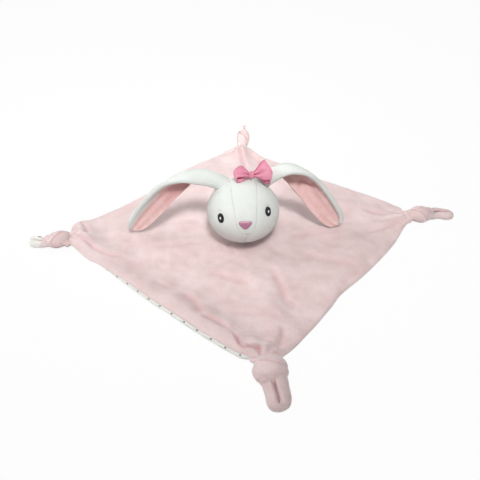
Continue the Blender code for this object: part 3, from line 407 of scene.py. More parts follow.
def curved_between(table, x):
    """Read a table of (place, value) pairs at x, on a smooth curve through them."""
    x = min(table[-1][0], max(table[0][0], x))
    for i in range(len(table) - 1):
        (x0, y0), (x1, y1) = table[i], table[i + 1]
        if x <= x1:
            break
    before, after = table[max(0, i - 1)], table[min(len(table) - 1, i + 2)]
    run = x1 - x0
    slope0 = (y1 - before[1]) / (x1 - before[0])
    slope1 = (after[1] - y0) / (after[0] - x0)
    f = (x - x0) / run
    f2, f3 = f * f, f * f * f
    return (y0 * (2 * f3 - 3 * f2 + 1) + y1 * (3 * f2 - 2 * f3)
            + run * (slope0 * (f3 - 2 * f2 + f) + slope1 * (f3 - f2)))


def table_row(rows, along):
    """A smooth run through rows of equal length, at along from 0 to 1."""
    spot = along * (len(rows) - 1)
    i = min(int(spot), len(rows) - 2)
    f = spot - i
    a, b = rows[max(0, i - 1)], rows[i]
    c, d = rows[i + 1], rows[min(len(rows) - 1, i + 2)]
    return [q + (r - p) * f / 2.0 + (2 * p - 5 * q + 4 * r - s) * f * f / 2.0
            + (3 * q - p - 3 * r + s) * f ** 3 / 2.0 for p, q, r, s in zip(a, b, c, d)]


def ripple(place, scale, seed):
    """Smooth noise from about -1 to 1 with features of the given size."""
    return noise.noise(Vector((place[0] / scale, place[1] / scale, place[2] / scale + seed)))


# Materials

def node(tree, kind, settings=None, inputs=None):
    """Add a node, with settings by name, and inputs by name or number from a value or a socket."""
    made = tree.nodes.new(kind)
    for name, value in (settings or {}).items():
        setattr(made, name, value)
    for name, value in (inputs or {}).items():
        if isinstance(value, bpy.types.NodeSocket):
            tree.links.new(value, made.inputs[name])
        else:
            made.inputs[name].default_value = value
    return made


def new_material(name, roughness, sheen, sheen_roughness):
    """A material with its tree, its shader and its object coordinates in millimetres."""
    mat = bpy.data.materials.new(name)
    mat.use_nodes = True
    tree = mat.node_tree
    shader = tree.nodes["Principled BSDF"]
    shader.inputs["Roughness"].default_value = roughness
    shader.inputs["IOR"].default_value = 1.5
    shader.inputs["Sheen Weight"].default_value = sheen
    shader.inputs["Sheen Roughness"].default_value = sheen_roughness
    place = node(tree, "ShaderNodeTexCoord").outputs["Object"]
    in_mm = node(tree, "ShaderNodeVectorMath", {"operation": "SCALE"}, {0: place, "Scale": 1000.0})
    return mat, tree, shader, in_mm.outputs["Vector"]


def shade(colour, share):
    return (*(min(1.0, c * share) for c in colour), 1.0)


def tinted(colour, red, green, blue):
    return (min(1.0, colour[0] * red), min(1.0, colour[1] * green), min(1.0, colour[2] * blue), 1.0)


def ramp(tree, value, low, high, dark, light):
    """A colour from dark to light as value goes from low to high."""
    mapped = node(tree, "ShaderNodeMapRange", None, {"Value": value, "From Min": low, "From Max": high})
    mix = node(tree, "ShaderNodeMix", {"data_type": "RGBA"},
               {0: mapped.outputs[0], 6: dark, 7: light})
    return mix.outputs[2]


def seen_directly(tree):
    """1 for rays that show a surface to the camera, and 0 for those that only carry light to it."""
    ray = node(tree, "ShaderNodeLightPath")
    seen = ray.outputs["Is Camera Ray"]
    for kind in ("Is Glossy Ray", "Is Transmission Ray"):
        seen = node(tree, "ShaderNodeMath", {"operation": "MAXIMUM"},
                    {0: seen, 1: ray.outputs[kind]}).outputs[0]
    return seen


def pile_material(name, colour, grain_mm, nap_mm, contrast, bump_mm, sheen, nap_tint,
                  root_shade=False):
    """Cut pile: a soft grain of fibre tufts over slow patches where the nap has been brushed flat or
    up, which darken or lighten the cloth, and a sheen where the fibre ends catch the light. Where the
    mesh's shade attribute is set, in creases, slits and folds, the colour is painted darker and redder
    as shade. An ear's lining is also painted a little darker as shade towards the ear's root."""
    mat, tree, shader, place = new_material(name, 0.92, sheen, 0.42)
    nap, grain, fine = [
        node(tree, "ShaderNodeTexNoise", None, {"Vector": place, "Scale": 1.0 / size_mm,
                                                "Detail": detail, "Roughness": rough}).outputs[0]
        for size_mm, detail, rough in ((nap_mm, 4.0, 0.62), (grain_mm, 2.0, 0.6),
                                       (grain_mm * 0.45, 1.0, 0.5))]
    brushed = ramp(tree, nap, 0.34, 0.66, tinted(colour, *nap_tint), tinted(colour, 1.02, 1.02, 1.02))
    # Painted shade: the lining is a little darker within 60 mm of the head's middle, near the ear's root,
    # and its own colour by 108 mm.
    if root_shade:
        parts = node(tree, "ShaderNodeSeparateXYZ", None, {0: place})
        out = node(tree, "ShaderNodeMath", {"operation": "ABSOLUTE"}, {0: parts.outputs[0]})
        fade = ramp(tree, out.outputs[0], 60.0, 108.0, tinted(WHITE, 0.99, 0.96, 0.96),
                    shade(WHITE, 1.0))
        brushed = node(tree, "ShaderNodeMix", {"data_type": "RGBA", "blend_type": "MULTIPLY"},
                       {0: 1.0, 6: brushed, 7: fade}).outputs[2]
    speck = ramp(tree, grain, 0.30, 0.70, shade(WHITE, 1.0 - contrast), shade(WHITE, 1.0))
    base = node(tree, "ShaderNodeMix", {"data_type": "RGBA", "blend_type": "MULTIPLY"},
                {0: 1.0, 6: brushed, 7: speck})
    # Painted shade: darker and redder where the mesh's shade attribute is set, in creases, slits and
    # folds.
    crease_shade = node(tree, "ShaderNodeAttribute", {"attribute_name": "crease_shade"}).outputs["Fac"]
    crease_shade_tint = ramp(tree, crease_shade, 0.0, 1.0, shade(WHITE, 1.0), tinted(WHITE, 0.80, 0.58, 0.60))
    base = node(tree, "ShaderNodeMix", {"data_type": "RGBA", "blend_type": "MULTIPLY"},
                {0: 1.0, 6: base.outputs[2], 7: crease_shade_tint})
    tree.links.new(base.outputs[2], shader.inputs["Base Color"])
    rough = node(tree, "ShaderNodeMapRange", None,
                 {"Value": nap, "From Min": 0.3, "From Max": 0.7, "To Min": 0.86, "To Max": 0.98})
    tree.links.new(rough.outputs[0], shader.inputs["Roughness"])
    both = node(tree, "ShaderNodeMath", {"operation": "MULTIPLY_ADD"}, {0: fine, 1: 0.4, 2: grain})
    bump = node(tree, "ShaderNodeBump", None,
                {"Strength": 0.7, "Distance": bump_mm * MM, "Height": both.outputs[0]})
    tree.links.new(bump.outputs["Normal"], shader.inputs["Normal"])
    return mat


def jersey_material(name, colour, dot_colour, cloth_mm):
    """Cotton single jersey, printed with small grey dots: fine upright ribs of knit stitches, drawn at
    1.4 mm where the real ones are 0.7 mm so that they show, and matte."""
    mat, tree, shader, place = new_material(name, 0.88, 0.15, 0.5)
    spot = node(tree, "ShaderNodeUVMap", {"uv_map": "cloth"}).outputs[0]
    spot = node(tree, "ShaderNodeVectorMath", {"operation": "SCALE"}, {0: spot, "Scale": cloth_mm})
    spot = spot.outputs["Vector"]
    ribs = node(tree, "ShaderNodeTexWave", {"wave_type": "BANDS", "bands_direction": "X"},
                {"Vector": spot, "Scale": 0.314 / 1.4, "Distortion": 0.6, "Detail": 1.0,
                 "Detail Scale": 1.5})
    cell = node(tree, "ShaderNodeVectorMath", {"operation": "SCALE"}, {0: spot, "Scale": 1.0 / 17.0})
    tile = node(tree, "ShaderNodeVectorMath", {"operation": "FRACTION"}, {0: cell.outputs["Vector"]})
    apart = node(tree, "ShaderNodeVectorMath", {"operation": "DISTANCE"},
                 {0: tile.outputs["Vector"], 1: (0.5, 0.09, 0.0)})
    inside = node(tree, "ShaderNodeMapRange", None,
                  {"Value": apart.outputs["Value"], "From Min": 0.070, "From Max": 0.088})
    knit = ramp(tree, ribs.outputs["Fac"], 0.0, 1.0, shade(colour, 0.94), shade(colour, 1.01))
    base = node(tree, "ShaderNodeMix", {"data_type": "RGBA"},
                {0: inside.outputs[0], 6: (*dot_colour, 1.0), 7: knit})
    tree.links.new(base.outputs[2], shader.inputs["Base Color"])
    bump = node(tree, "ShaderNodeBump", None,
                {"Strength": 0.5, "Distance": 0.12 * MM, "Height": ribs.outputs["Fac"]})
    tree.links.new(bump.outputs["Normal"], shader.inputs["Normal"])
    return mat


def ribbon_material(name, colour):
    """Woven satin ribbon: a soft gloss, fine cross ribs drawn at 1.1 mm where the real ones are
    0.4 mm, and a darker pink along both edges, partly its woven selvedge and partly painted shade
    where the edges fold and turn away."""
    mat, tree, shader, place = new_material(name, 0.46, 0.35, 0.3)
    spot = node(tree, "ShaderNodeUVMap", {"uv_map": "cloth"}).outputs[0]
    parts = node(tree, "ShaderNodeSeparateXYZ", None, {0: spot})
    ribs = node(tree, "ShaderNodeMath", {"operation": "SINE"},
                {0: node(tree, "ShaderNodeMath", {"operation": "MULTIPLY"},
                         {0: parts.outputs[0], 1: 2.0 * math.pi / 1.1}).outputs[0]})
    edge = node(tree, "ShaderNodeMath", {"operation": "ABSOLUTE"}, {0: parts.outputs[1]})
    # Darker pink along both edges: partly the woven selvedge, partly painted shade.
    selvedge_and_shade = node(tree, "ShaderNodeMapRange", None,
                    {"Value": edge.outputs[0], "From Min": 0.84, "From Max": 0.95})
    slow = node(tree, "ShaderNodeTexNoise", None,
                {"Vector": place, "Scale": 1.0 / 5.0, "Detail": 2.0, "Roughness": 0.5}).outputs[0]
    body = ramp(tree, slow, 0.3, 0.7, tinted(colour, 0.93, 0.84, 0.88),
                tinted(colour, 1.0, 1.05, 1.04))
    weave = ramp(tree, ribs.outputs[0], -1.0, 1.0, shade(WHITE, 0.90), shade(WHITE, 1.0))
    woven = node(tree, "ShaderNodeMix", {"data_type": "RGBA", "blend_type": "MULTIPLY"},
                 {0: 1.0, 6: body, 7: weave})
    base = node(tree, "ShaderNodeMix", {"data_type": "RGBA"},
                {0: selvedge_and_shade.outputs[0], 6: woven.outputs[2], 7: tinted(colour, 0.80, 0.50, 0.62)})
    tree.links.new(base.outputs[2], shader.inputs["Base Color"])
    bump = node(tree, "ShaderNodeBump", None,
                {"Strength": 0.45, "Distance": 0.08 * MM, "Height": ribs.outputs[0]})
    tree.links.new(bump.outputs["Normal"], shader.inputs["Normal"])
    return mat


def thread_material(name, colour, roughness, contrast=0.16):
    """Rayon or polyester thread: fine twisted strands, drawn at 0.25 mm, with a soft gloss."""
    mat, tree, shader, place = new_material(name, roughness, 0.04, 0.3)
    strands, slow = [
        node(tree, "ShaderNodeTexNoise", None, {"Vector": place, "Scale": 1.0 / size_mm,
                                                "Detail": detail, "Roughness": rough}).outputs[0]
        for size_mm, detail, rough in ((0.25, 2.0, 0.6), (2.5, 1.0, 0.5))]
    mixed = node(tree, "ShaderNodeMath", {"operation": "MULTIPLY_ADD"}, {0: slow, 1: 0.6, 2: strands})
    base = ramp(tree, mixed.outputs[0], 0.55, 1.05, shade(colour, 1.0 - contrast),
                shade(colour, 1.0 + contrast))
    tree.links.new(base, shader.inputs["Base Color"])
    bump = node(tree, "ShaderNodeBump", None,
                {"Strength": 0.5, "Distance": 0.06 * MM, "Height": strands})
    tree.links.new(bump.outputs["Normal"], shader.inputs["Normal"])
    return mat


def fibre_material(name, colour):
    """Loose polyester fill: matte, tangled white fibre with clumps about 3 mm across."""
    mat, tree, shader, place = new_material(name, 1.0, 0.3, 0.6)
    clumps = node(tree, "ShaderNodeTexNoise", None,
                  {"Vector": place, "Scale": 1.0 / 3.0, "Detail": 4.0, "Roughness": 0.65}).outputs[0]
    base = ramp(tree, clumps, 0.3, 0.7, shade(colour, 0.84), shade(colour, 1.0))
    tree.links.new(base, shader.inputs["Base Color"])
    bump = node(tree, "ShaderNodeBump", None,
                {"Strength": 0.8, "Distance": 0.6 * MM, "Height": clumps})
    tree.links.new(bump.outputs["Normal"], shader.inputs["Normal"])
    return mat


def material(key):
    """The finish for a kind of cloth or thread, made once."""
    names = {
        "velour": "velour, cut pile polyester",
        "jersey": "cotton jersey, printed dots",
        "plush": "short plush, sheared polyester",
        "lining": "ear lining, sheared polyester",
        "ribbon": "satin ribbon, woven",
        "black": "embroidery thread, black rayon",
        "white": "sewing thread, white polyester",
        "grey": "embroidery thread, pale grey rayon",
        "brown": "embroidery thread, brown rayon",
        "nose": "embroidery thread, mauve rayon",
        "nose_band": "embroidery thread, pale mauve rayon",
        "fibre": "polyester fibre fill",
    }
    name = names[key]
    if name in bpy.data.materials:
        return bpy.data.materials[name]
    colours = bpy.context.scene.blanket_colours
    if key == "velour":
        return pile_material(name, colours.velour, 1.2, 26.0, 0.10, 0.5, 0.75, (0.895, 0.835, 0.825))
    if key == "plush":
        return pile_material(name, colours.plush, 0.9, 16.0, 0.07, 0.35, 0.12, (0.965, 0.97, 0.965))
    if key == "lining":
        return pile_material(name, colours.lining, 0.9, 9.0, 0.10, 0.35, 0.20, (0.94, 0.86, 0.85), True)
    if key == "jersey":
        side = bpy.context.scene.blanket_sizes.panel_side
        return jersey_material(name, colours.jersey, colours.dots, side / MM)
    if key == "ribbon":
        return ribbon_material(name, colours.ribbon)
    if key == "fibre":
        return fibre_material(name, linear("EDEDE8"))
    threads = {
        "black": (linear("070607"), 0.8), "white": (linear("EEEEEC"), 0.7),
        "grey": (linear("B9BCBB"), 0.55), "brown": (linear("9C8E8A"), 0.6),
        "nose": (colours.nose, 0.45, 0.30), "nose_band": (colours.nose_band, 0.45),
    }
    return thread_material(name, *threads[key])


# Pieces

def mesh_from(bm, name):
    mesh = bpy.data.meshes.new(name)
    bm.to_mesh(mesh)
    bm.free()
    mesh.shade_smooth()
    return mesh


def add_piece(name, mesh, finish, body=None, slot=None, replaces=()):
    """Link a piece whose place is in its mesh, and tell the frame what it rides on and stands for."""
    obj = bpy.data.objects.new(name, mesh)
    bpy.context.scene.collection.objects.link(obj)
    mesh.materials.append(material(finish))
    if body is not None:
        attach(obj, body)
    if replaces:
        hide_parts(*replaces)
    return obj


def thicken(obj, thickness, offset=-1.0):
    wall = obj.modifiers.new("Wall", "SOLIDIFY")
    wall.thickness = thickness
    wall.offset = offset
    wall.use_even_offset = False


def finish_modifiers(obj):
    """Make the modifiers' result the mesh itself."""
    graph = bpy.context.evaluated_depsgraph_get()
    done = bpy.data.meshes.new_from_object(obj.evaluated_get(graph))
    old = obj.data
    obj.modifiers.clear()
    obj.data = done
    done.shade_smooth()
    bpy.data.meshes.remove(old)


def faces_towards(bm, way):
    """Turn an open patch so that most of it faces along way."""
    bm.normal_update()
    if sum(face.normal.dot(way) * face.calc_area() for face in bm.faces) < 0.0:
        bmesh.ops.reverse_faces(bm, faces=bm.faces)


def faces_from(bm, centre):
    """Turn an open patch so that it faces away from centre."""
    bm.normal_update()
    if sum(face.normal.dot(face.calc_center_median() - centre) for face in bm.faces) < 0.0:
        bmesh.ops.reverse_faces(bm, faces=bm.faces)


def write_uv(bm, layer, spots):
    for face in bm.faces:
        for loop in face.loops:
            loop[layer].uv = spots[loop.vert]


def stitch_tube(name, paths, radius, finish, body, **words):
    """Threads as fine round tubes along lists of points."""
    curve = bpy.data.curves.new(name, "CURVE")
    curve.dimensions = "3D"
    curve.bevel_depth = radius
    curve.bevel_resolution = 1
    curve.use_fill_caps = True
    for path in paths:
        spline = curve.splines.new("POLY")
        spline.points.add(len(path) - 1)
        for i, (point, place) in enumerate(zip(spline.points, path)):
            point.co = (*place, 1.0)
            point.radius = 0.45 if i in (0, len(path) - 1) else 1.0
    shape = bpy.data.objects.new(name + "_path", curve)
    bpy.context.scene.collection.objects.link(shape)
    mesh = bpy.data.meshes.new_from_object(shape.evaluated_get(
        bpy.context.evaluated_depsgraph_get()))
    bpy.data.objects.remove(shape, do_unlink=True)
    mesh.shade_smooth()
    mesh.name = name
    return add_piece(name, mesh, finish, body, **words)


# Blanket

class Square:
    """The blanket's form: plan places, heights and creases for s and t from -1 to 1."""

    def __init__(self, sizes):
        self.half = sizes.panel_side / 2.0
        self.half_diagonal = sizes.panel_side / math.sqrt(2.0)
        self.loft = sizes.velour_loft
        self.roll = sizes.edge_roll
        self.slack = sizes.slack
        self.corners = {n: PANEL_CENTRE + Vector(c["corner"]) * self.half_diagonal
                        for n, c in CORNERS.items()}
        self.necks = {n: PANEL_CENTRE + Vector(c["neck"]) * NECK_REACH for n, c in CORNERS.items()}
        row = 1.0 - EDGE_ROW / self.half
        ends = {"left": ((-1.0, -row), (-row, -1.0)), "front": ((row, -1.0), (1.0, -row)),
                "right": ((1.0, row), (row, 1.0)), "back": ((-row, 1.0), (-1.0, row))}
        self.ends = {n: [self.straight(*end) for end in pair] for n, pair in ends.items()}
        self.folds = [(PANEL_CENTRE + Vector(a) * self.half_diagonal,
                       PANEL_CENTRE + Vector(b) * self.half_diagonal,
                       FOLD_HEIGHT * h, FOLD_WIDTH * w) for a, b, h, w in FOLDS]
        self.creases = []
        for points, depth, width, bank in CREASES:
            places = [Vector(p) * MM for p in points]
            reach = width * MM * CREASE_REACH
            low = (min(p.x for p in places) - reach, min(p.y for p in places) - reach)
            high = (max(p.x for p in places) + reach, max(p.y for p in places) + reach)
            self.creases.append((places, depth * MM, width * MM, bank * MM, low, high))

    def straight(self, s, t):
        left, front, right, back = (self.corners[n] for n in CORNERS)
        a, b = (s + 1.0) / 2.0, (t + 1.0) / 2.0
        return (left * (1 - a) * (1 - b) + front * a * (1 - b) + right * a * b
                + back * (1 - a) * b)

    def stray(self, s, t):
        """How far the wavy edges move a place; each wave fades out towards the middle."""
        total = Vector((0.0, 0.0))
        sides = (("front_left", s, -t, (-1.0, -1.0)), ("front_right", t, s, (1.0, -1.0)),
                 ("back_right", -s, t, (1.0, 1.0)), ("back_left", -t, -s, (-1.0, 1.0)))
        for name, along, out, way in sides:
            fade = smooth_step(1.0 - (1.0 - out) * self.half / EDGE_WAVE_SPREAD)
            if fade > 0.0:
                wave = EDGE_WAVE * curved_between(EDGE_WAVES[name], (along + 1.0) / 2.0)
                total += Vector(way).normalized() * wave * fade
        return total

    def plan(self, s, t):
        """Plan place, with the corners drawn in to their necks."""
        flat = self.straight(s, t)
        moved = flat + self.stray(s, t)
        for name, (first, second) in self.ends.items():
            away = (flat - self.corners[name]).length
            spread = CORNERS[name]["spread"] * MM
            pull = smooth_step((spread - away) / (spread - EDGE_ROW))
            if pull == 0.0:
                continue
            heading = math.radians(CORNERS[name]["heading"])
            sideways = Vector((-math.sin(heading), math.cos(heading)))
            run = second - first
            share = min(1.0, max(0.0, (flat - first).dot(run) / run.length_squared))
            target = self.necks[name] + sideways * (CORNERS[name]["width"] * MM * (share - 0.5))
            moved = moved.lerp(target + (flat - first.lerp(second, share)), pull)
        return moved

    def parting(self, plan):
        """Height of the face between the two panels."""
        height = PANEL_PARTING
        for start, end, high, width in self.folds:
            run = end - start
            along = min(1.0, max(0.0, (plan - start).dot(run) / run.length_squared))
            away = (plan - start - run * along).length / width
            height += high * math.exp(-away * away)
        for neck in self.necks.values():
            height += CORNER_LIFT * smooth_step(1.0 - (plan - neck).length / CORNER_SPREAD)
        return height

    def creased(self, plan):
        """How far the creases lower the velour and the cloth beside them stands up, and how deep in
        a crease the place lies, from 0 to 1."""
        total, deepest = 0.0, 0.0
        for places, depth, width, bank, low, high in self.creases:
            if not (low[0] < plan.x < high[0] and low[1] < plan.y < high[1]):
                continue
            best, side, end = None, 0.0, 0.0
            for i, (start, stop) in enumerate(zip(places, places[1:])):
                run = stop - start
                share = (plan - start).dot(run) / run.length_squared
                along = min(1.0, max(0.0, share))
                away = (plan - start - run * along).length
                if best is None or away < best:
                    best = away
                    side = run.x * (plan.y - start.y) - run.y * (plan.x - start.x)
                    end = (i + along) / (len(places) - 1)
            fade = smooth_step(end * 5.0 + 0.15) * smooth_step((1.0 - end) * 5.0 + 0.15)
            near = best / width
            groove = math.exp(-near * near)
            total -= 1.2 * depth * groove * fade
            # This share sets the painted shade in the crease.
            deepest = max(deepest, min(1.0, depth * 330.0) * groove * fade)
            if bank and side * bank > 0.0:
                total += 2.4 * abs(bank) * (1.0 - groove) * math.exp(-((near / 3.0) ** 2)) * fade
        return total, deepest

    def lip(self, s, t):
        """1 along the front left edge and 0 at its ends, and the distance in from that edge."""
        inside = (1.0 + t) * self.half
        return curved_between(LIP_WINDOW, (s + 1.0) / 2.0), inside

    def gathers(self, plan):
        """Pleats that run out of each neck."""
        total = 0.0
        for name, neck in self.necks.items():
            away = plan - neck
            far = away.length
            if far > GATHER_REACH:
                continue
            angle = math.atan2(away.y, away.x) - math.radians(CORNERS[name]["heading"])
            rise = smooth_step(far / 0.006) * smooth_step(1.0 - (far - 0.010) / 0.040)
            total += GATHER_HEIGHT * rise * math.cos(angle * 9.0 + far * 60.0)
        return total

    def velour(self, s, t):
        """A place on the top face of the velour."""
        plan = self.plan(s, t)
        window, inside = self.lip(s, t)
        edge = (1.0 - max(abs(s), abs(t))) * self.half
        height = self.parting(plan)
        rim = min(1.0, edge / self.roll)
        height += self.loft * math.sqrt(max(0.0, 1.0 - (1.0 - rim) ** 2))
        soft = smooth_step(edge / 0.007)
        height += (self.creased(plan)[0] + self.gathers(plan)) * soft
        place = (plan.x, plan.y, 0.0)
        wave = ripple(place, 0.046, 3.0) + 0.45 * ripple(place, 0.019, 8.0)
        height += self.slack * wave * smooth_step(edge / 0.020)
        height += self.slack * 0.35 * ripple(place, 0.012, 5.0) * smooth_step(edge / 0.006)
        lift = smooth_step(1.0 - inside / LIP_SPREAD)
        height += LIP_LIFT * window * lift
        least = CLOTHS_DEPTH * rim
        height = max(height, least + 0.15 * (height - least))
        set_in = LIP_SETBACK * window * smooth_step(1.0 - inside / 0.020)
        return Vector((plan.x + set_in * DIAGONAL, plan.y + set_in * DIAGONAL, height))

    def jersey(self, s, t):
        """A place on the lower face of the backing."""
        plan = self.plan(s, t)
        window, inside = self.lip(s, t)
        edge = (1.0 - max(abs(s), abs(t))) * self.half
        height = self.parting(plan) - 0.0003
        rim = min(1.0, edge / self.roll)
        height -= 0.0010 * math.sqrt(max(0.0, 1.0 - (1.0 - rim) ** 2))
        climb = 1.0 - smooth_step(inside / EDGE_ROW)
        height += LIP_LIFT * window * climb
        share = min(1.0, inside / EDGE_ROW)
        belly = 0.0011 * math.sin(math.pi * share)
        foot = LIP_SETBACK + 0.0010 * share * share - belly
        settle = smooth_step((inside - EDGE_ROW) / LIP_SPREAD)
        target = foot if inside < EDGE_ROW else foot + (inside - EDGE_ROW)
        move = (target - inside) * window * (1.0 - settle)
        if edge > self.roll:
            height = min(height, self.velour(s, t).z - CLOTHS_DEPTH)
        return Vector((plan.x + move * DIAGONAL, plan.y + move * DIAGONAL, max(GROUND, height)))


def edge_line(share, cells, half, front):
    """Grid lines that are closer towards the front corner, and close rows within the edge's roll."""
    fine = 1.0 - 2.0 * EDGE_CELLS / cells
    rim = 1.0 - EDGE_FINE_DEPTH / half
    size = abs(share)
    if size <= fine:
        inner = share / fine
        return (inner + front * 0.18 * (1.0 - inner * inner)) * rim
    depth = (1.0 - size) / (1.0 - fine)
    return math.copysign(1.0 - (1.0 - rim) * depth ** 1.7, share)


def cloth_square(name, cells, form, up, square):
    """A square of cloth from a grid, with its four corners cut off at the necks."""
    bm = bmesh.new()
    bmesh.ops.create_grid(bm, x_segments=cells, y_segments=cells, size=1.0)
    cloth = bm.loops.layers.uv.new("cloth")
    spots = {}
    cut = 1.0 - CORNER_CUT / square.half
    spare = []
    for vert in bm.verts:
        s = edge_line(vert.co.x, cells, square.half, 1.0)
        t = edge_line(vert.co.y, cells, square.half, -1.0)
        spots[vert] = (s, t)
        if abs(s) + abs(t) > 1.0 + cut:
            spare.append(vert)
    gone = set(spare)
    bmesh.ops.delete(bm, geom=spare, context="VERTS")
    for vert, spot in spots.items():
        if vert not in gone:
            vert.co = form(*spot)
    for face in bm.faces:
        for loop in face.loops:
            s, t = spots[loop.vert]
            loop[cloth].uv = ((s + 1.0) / 2.0, (t + 1.0) / 2.0)
    faces_towards(bm, Vector((0.0, 0.0, up)))
    return mesh_from(bm, name)


# Corners

def corner_frame(name, square):
    """Local X points out along the strip from its neck, on the ground."""
    neck = square.necks[name]
    heading = math.radians(CORNERS[name]["heading"])
    return Matrix.Translation((neck.x, neck.y, 0.0)) @ Matrix.Rotation(heading, 4, "Z")


def corner_seed(name, first):
    """Where a piece of this corner reads its noise, so that no two look the same."""
    return first + 10.0 * list(CORNERS).index(name)


def knot_height(name):
    return KNOT_RADIUS * KNOT_FLATNESS * CORNERS[name]["knot"] + 0.0003


def rounded_body(segments, rings):
    """A unit sphere whose poles lie on the X axis."""
    bm = bmesh.new()
    bmesh.ops.create_uvsphere(bm, u_segments=segments, v_segments=rings, radius=1.0)
    bmesh.ops.rotate(bm, verts=bm.verts, matrix=Matrix.Rotation(math.pi / 2.0, 3, "Y"))
    return bm


def sway(name, x):
    """How far the strip has swayed to its left at x along it."""
    return MM * curved_between(SWAYS[name], x / (TAIL_REACH * CORNERS[name]["reach"]))


def knot_mesh(name, square):
    """One turn of the strip round itself: two fat wraps with a slanting groove between them, which is
    painted darker as shade.
    """
    corner = CORNERS[name]
    size = corner["knot"]
    start, end, breadth, taper, rise, skew, full = KNOT_FORMS[name]
    start, end = start * MM, end * MM
    length, radius = end - start, KNOT_RADIUS * size
    middle = (start + end) / 2.0
    seed = corner_seed(name, 0.0)
    slant = -1.0 if name == "right" else 1.0
    bm = rounded_body(120, 72)
    crease_shade = bm.verts.layers.float.new("crease_shade")
    for vert in bm.verts:
        along, side, up = vert.co
        angle = math.atan2(up, side)
        fullness = full if along < 0.0 else KNOT_END_FULLNESS
        body = max(0.0, 1.0 - abs(along) ** fullness) ** 0.5
        body *= 1.0 - taper * smooth_step((along + 0.3) / 1.2)
        dip = 0.0
        for place, lead, deep, wide in KNOT_FURROWS[name]:
            apart = along - slant * lead * math.cos(angle - 0.4) - place
            dip += deep * (math.exp(-((apart / wide) ** 2)) if apart > 0.0 else
                           math.exp(-((apart / wide / 2.6) ** 2)))
        # Painted shade in the grooves between the wraps.
        vert[crease_shade] = min(1.0, dip * 3.6)
        pleats = 0.034 * math.cos(angle * 8.0 + along * 4.0) * smooth_step(abs(along) * 1.3 - 0.1)
        lump = 0.05 * ripple((along, side, up), 0.75, seed)
        reach = radius * body * (1.0 - dip + pleats + lump)
        x = middle + along * length / 2.0
        across = reach * breadth * math.cos(angle)
        up = reach * math.sin(angle) * KNOT_FLATNESS + rise * MM * smooth_step((along + 1.0) / 2.0)
        vert.co = (x + skew * across, across + sway(name, x), max(GROUND, up + knot_height(name)))
    bmesh.ops.transform(bm, matrix=corner_frame(name, square), verts=bm.verts)
    return mesh_from(bm, "knot_" + name)


def tail_rows(name):
    """Stations from the collar round the panel's corner, through the knot, to the rounded tip: place
    along, sideways and up, half width and half height."""
    corner = CORNERS[name]
    middle = knot_height(name)
    centre = THROAT_LENGTH + KNOT_LENGTH * corner["knot"] / 2.0
    waist = TAIL_WAIST_RADIUS * corner["knot"]
    root = KNOT_RADIUS * corner["knot"] * corner["root"]
    lobe = TAIL_LOBE_RADIUS * corner["lobe"]
    reach = TAIL_REACH * corner["reach"]
    rise = reach * corner["tip_rise"]
    low = lobe * TAIL_FLATNESS + 0.0003
    if low < middle and rise > 0.0:
        low = low + (middle - low) * min(1.0, corner["tip_rise"] * 3.0)
    out = centre * 2.0 - THROAT_LENGTH
    run = reach - out
    flat = TAIL_FLATNESS
    rows = [
        (out * 0.40, middle, waist * 1.2, waist),
        (out * 0.76, middle, root * 0.94, root * 0.72),
        (out, (low + middle * 2.0) / 3.0, root, root * 0.76),
        (out + run * 0.25, low + rise * 0.2, (lobe + root) / 2.0, (lobe + root) / 2.0 * flat),
        (out + run * 0.48, low + rise * 0.5, lobe * 1.02, lobe * flat),
        (out + run * 0.72, low + rise * 0.75, lobe * 1.00, lobe * flat),
        (out + run * 0.90, low + rise * 0.95, lobe * 0.80, lobe * flat * 0.82),
        (reach, low + rise, lobe * 0.34, lobe * flat * 0.40),
    ]
    return [(x, sway(name, x), z, wide, high) for x, z, wide, high in rows]


def tail_mesh(name, square, tip_from=None):
    """The strip's end: a soft lobe, folded lengthwise so that a slit shows along its upper side. With
    tip_from, only the backing's fold that shows round the lobe from there to its tip."""
    rows = tail_rows(name)
    seed = corner_seed(name, 5.0)
    lean = TAIL_LEANS[name]
    bm = rounded_body(120, 84)
    crease_shade = bm.verts.layers.float.new("crease_shade")
    for vert in bm.verts:
        along = (1.0 + math.copysign(abs(vert.co.x) ** 0.8, vert.co.x)) / 2.0
        spread = math.hypot(vert.co.y, vert.co.z)
        angle = math.atan2(vert.co.z, vert.co.y)
        x, y, z, wide, high = table_row(rows, along)
        cap = min(1.0, spread * 3.2) if along < 0.5 else min(1.0, spread * 1.9)
        cap = math.sqrt(max(0.0, 1.0 - (1.0 - cap) ** 2))
        top = angle - math.pi / 2.0 - lean * (1.4 - 1.5 * along)
        window = smooth_step((along - 0.30) / 0.08) * smooth_step((0.93 - along) / 0.20)
        fork = 0.30 * smooth_step((along - 0.66) / 0.26)
        slit = max(math.exp(-(((top - fork * 0.5) / 0.15) ** 2)),
                   0.6 * math.exp(-(((top + fork) / 0.13) ** 2)))
        slit *= 0.84 * window * (1.0 - 0.55 * smooth_step((along - 0.70) / 0.25))
        # Painted shade in the slit.
        vert[crease_shade] = min(1.0, slit * 1.2)
        pleat = 0.045 * math.cos(angle * 6.0 + 1.0) * smooth_step((0.55 - along) / 0.2)
        lump = 0.05 * ripple(vert.co, 0.8, seed)
        grow = cap * (1.0 - slit + pleat + lump)
        if tip_from is not None:
            shown = smooth_step((along - tip_from - 0.05 * math.cos(angle * 2.0 + 0.6)) / 0.05)
            grow *= 0.82 + 0.28 * shown
            x += 0.0003 * shown
        vert.co = (x, y + wide * grow * math.cos(angle), z + high * grow * math.sin(angle))
        vert.co.z = max(GROUND, vert.co.z)
    bmesh.ops.transform(bm, matrix=corner_frame(name, square), verts=bm.verts)
    if tip_from is not None:
        cloth = bm.loops.layers.uv.new("cloth")
        for face in bm.faces:
            for loop in face.loops:
                loop[cloth].uv = (loop.vert.co.x * 2.0, loop.vert.co.y * 2.0)
    return mesh_from(bm, "tail_" + name)


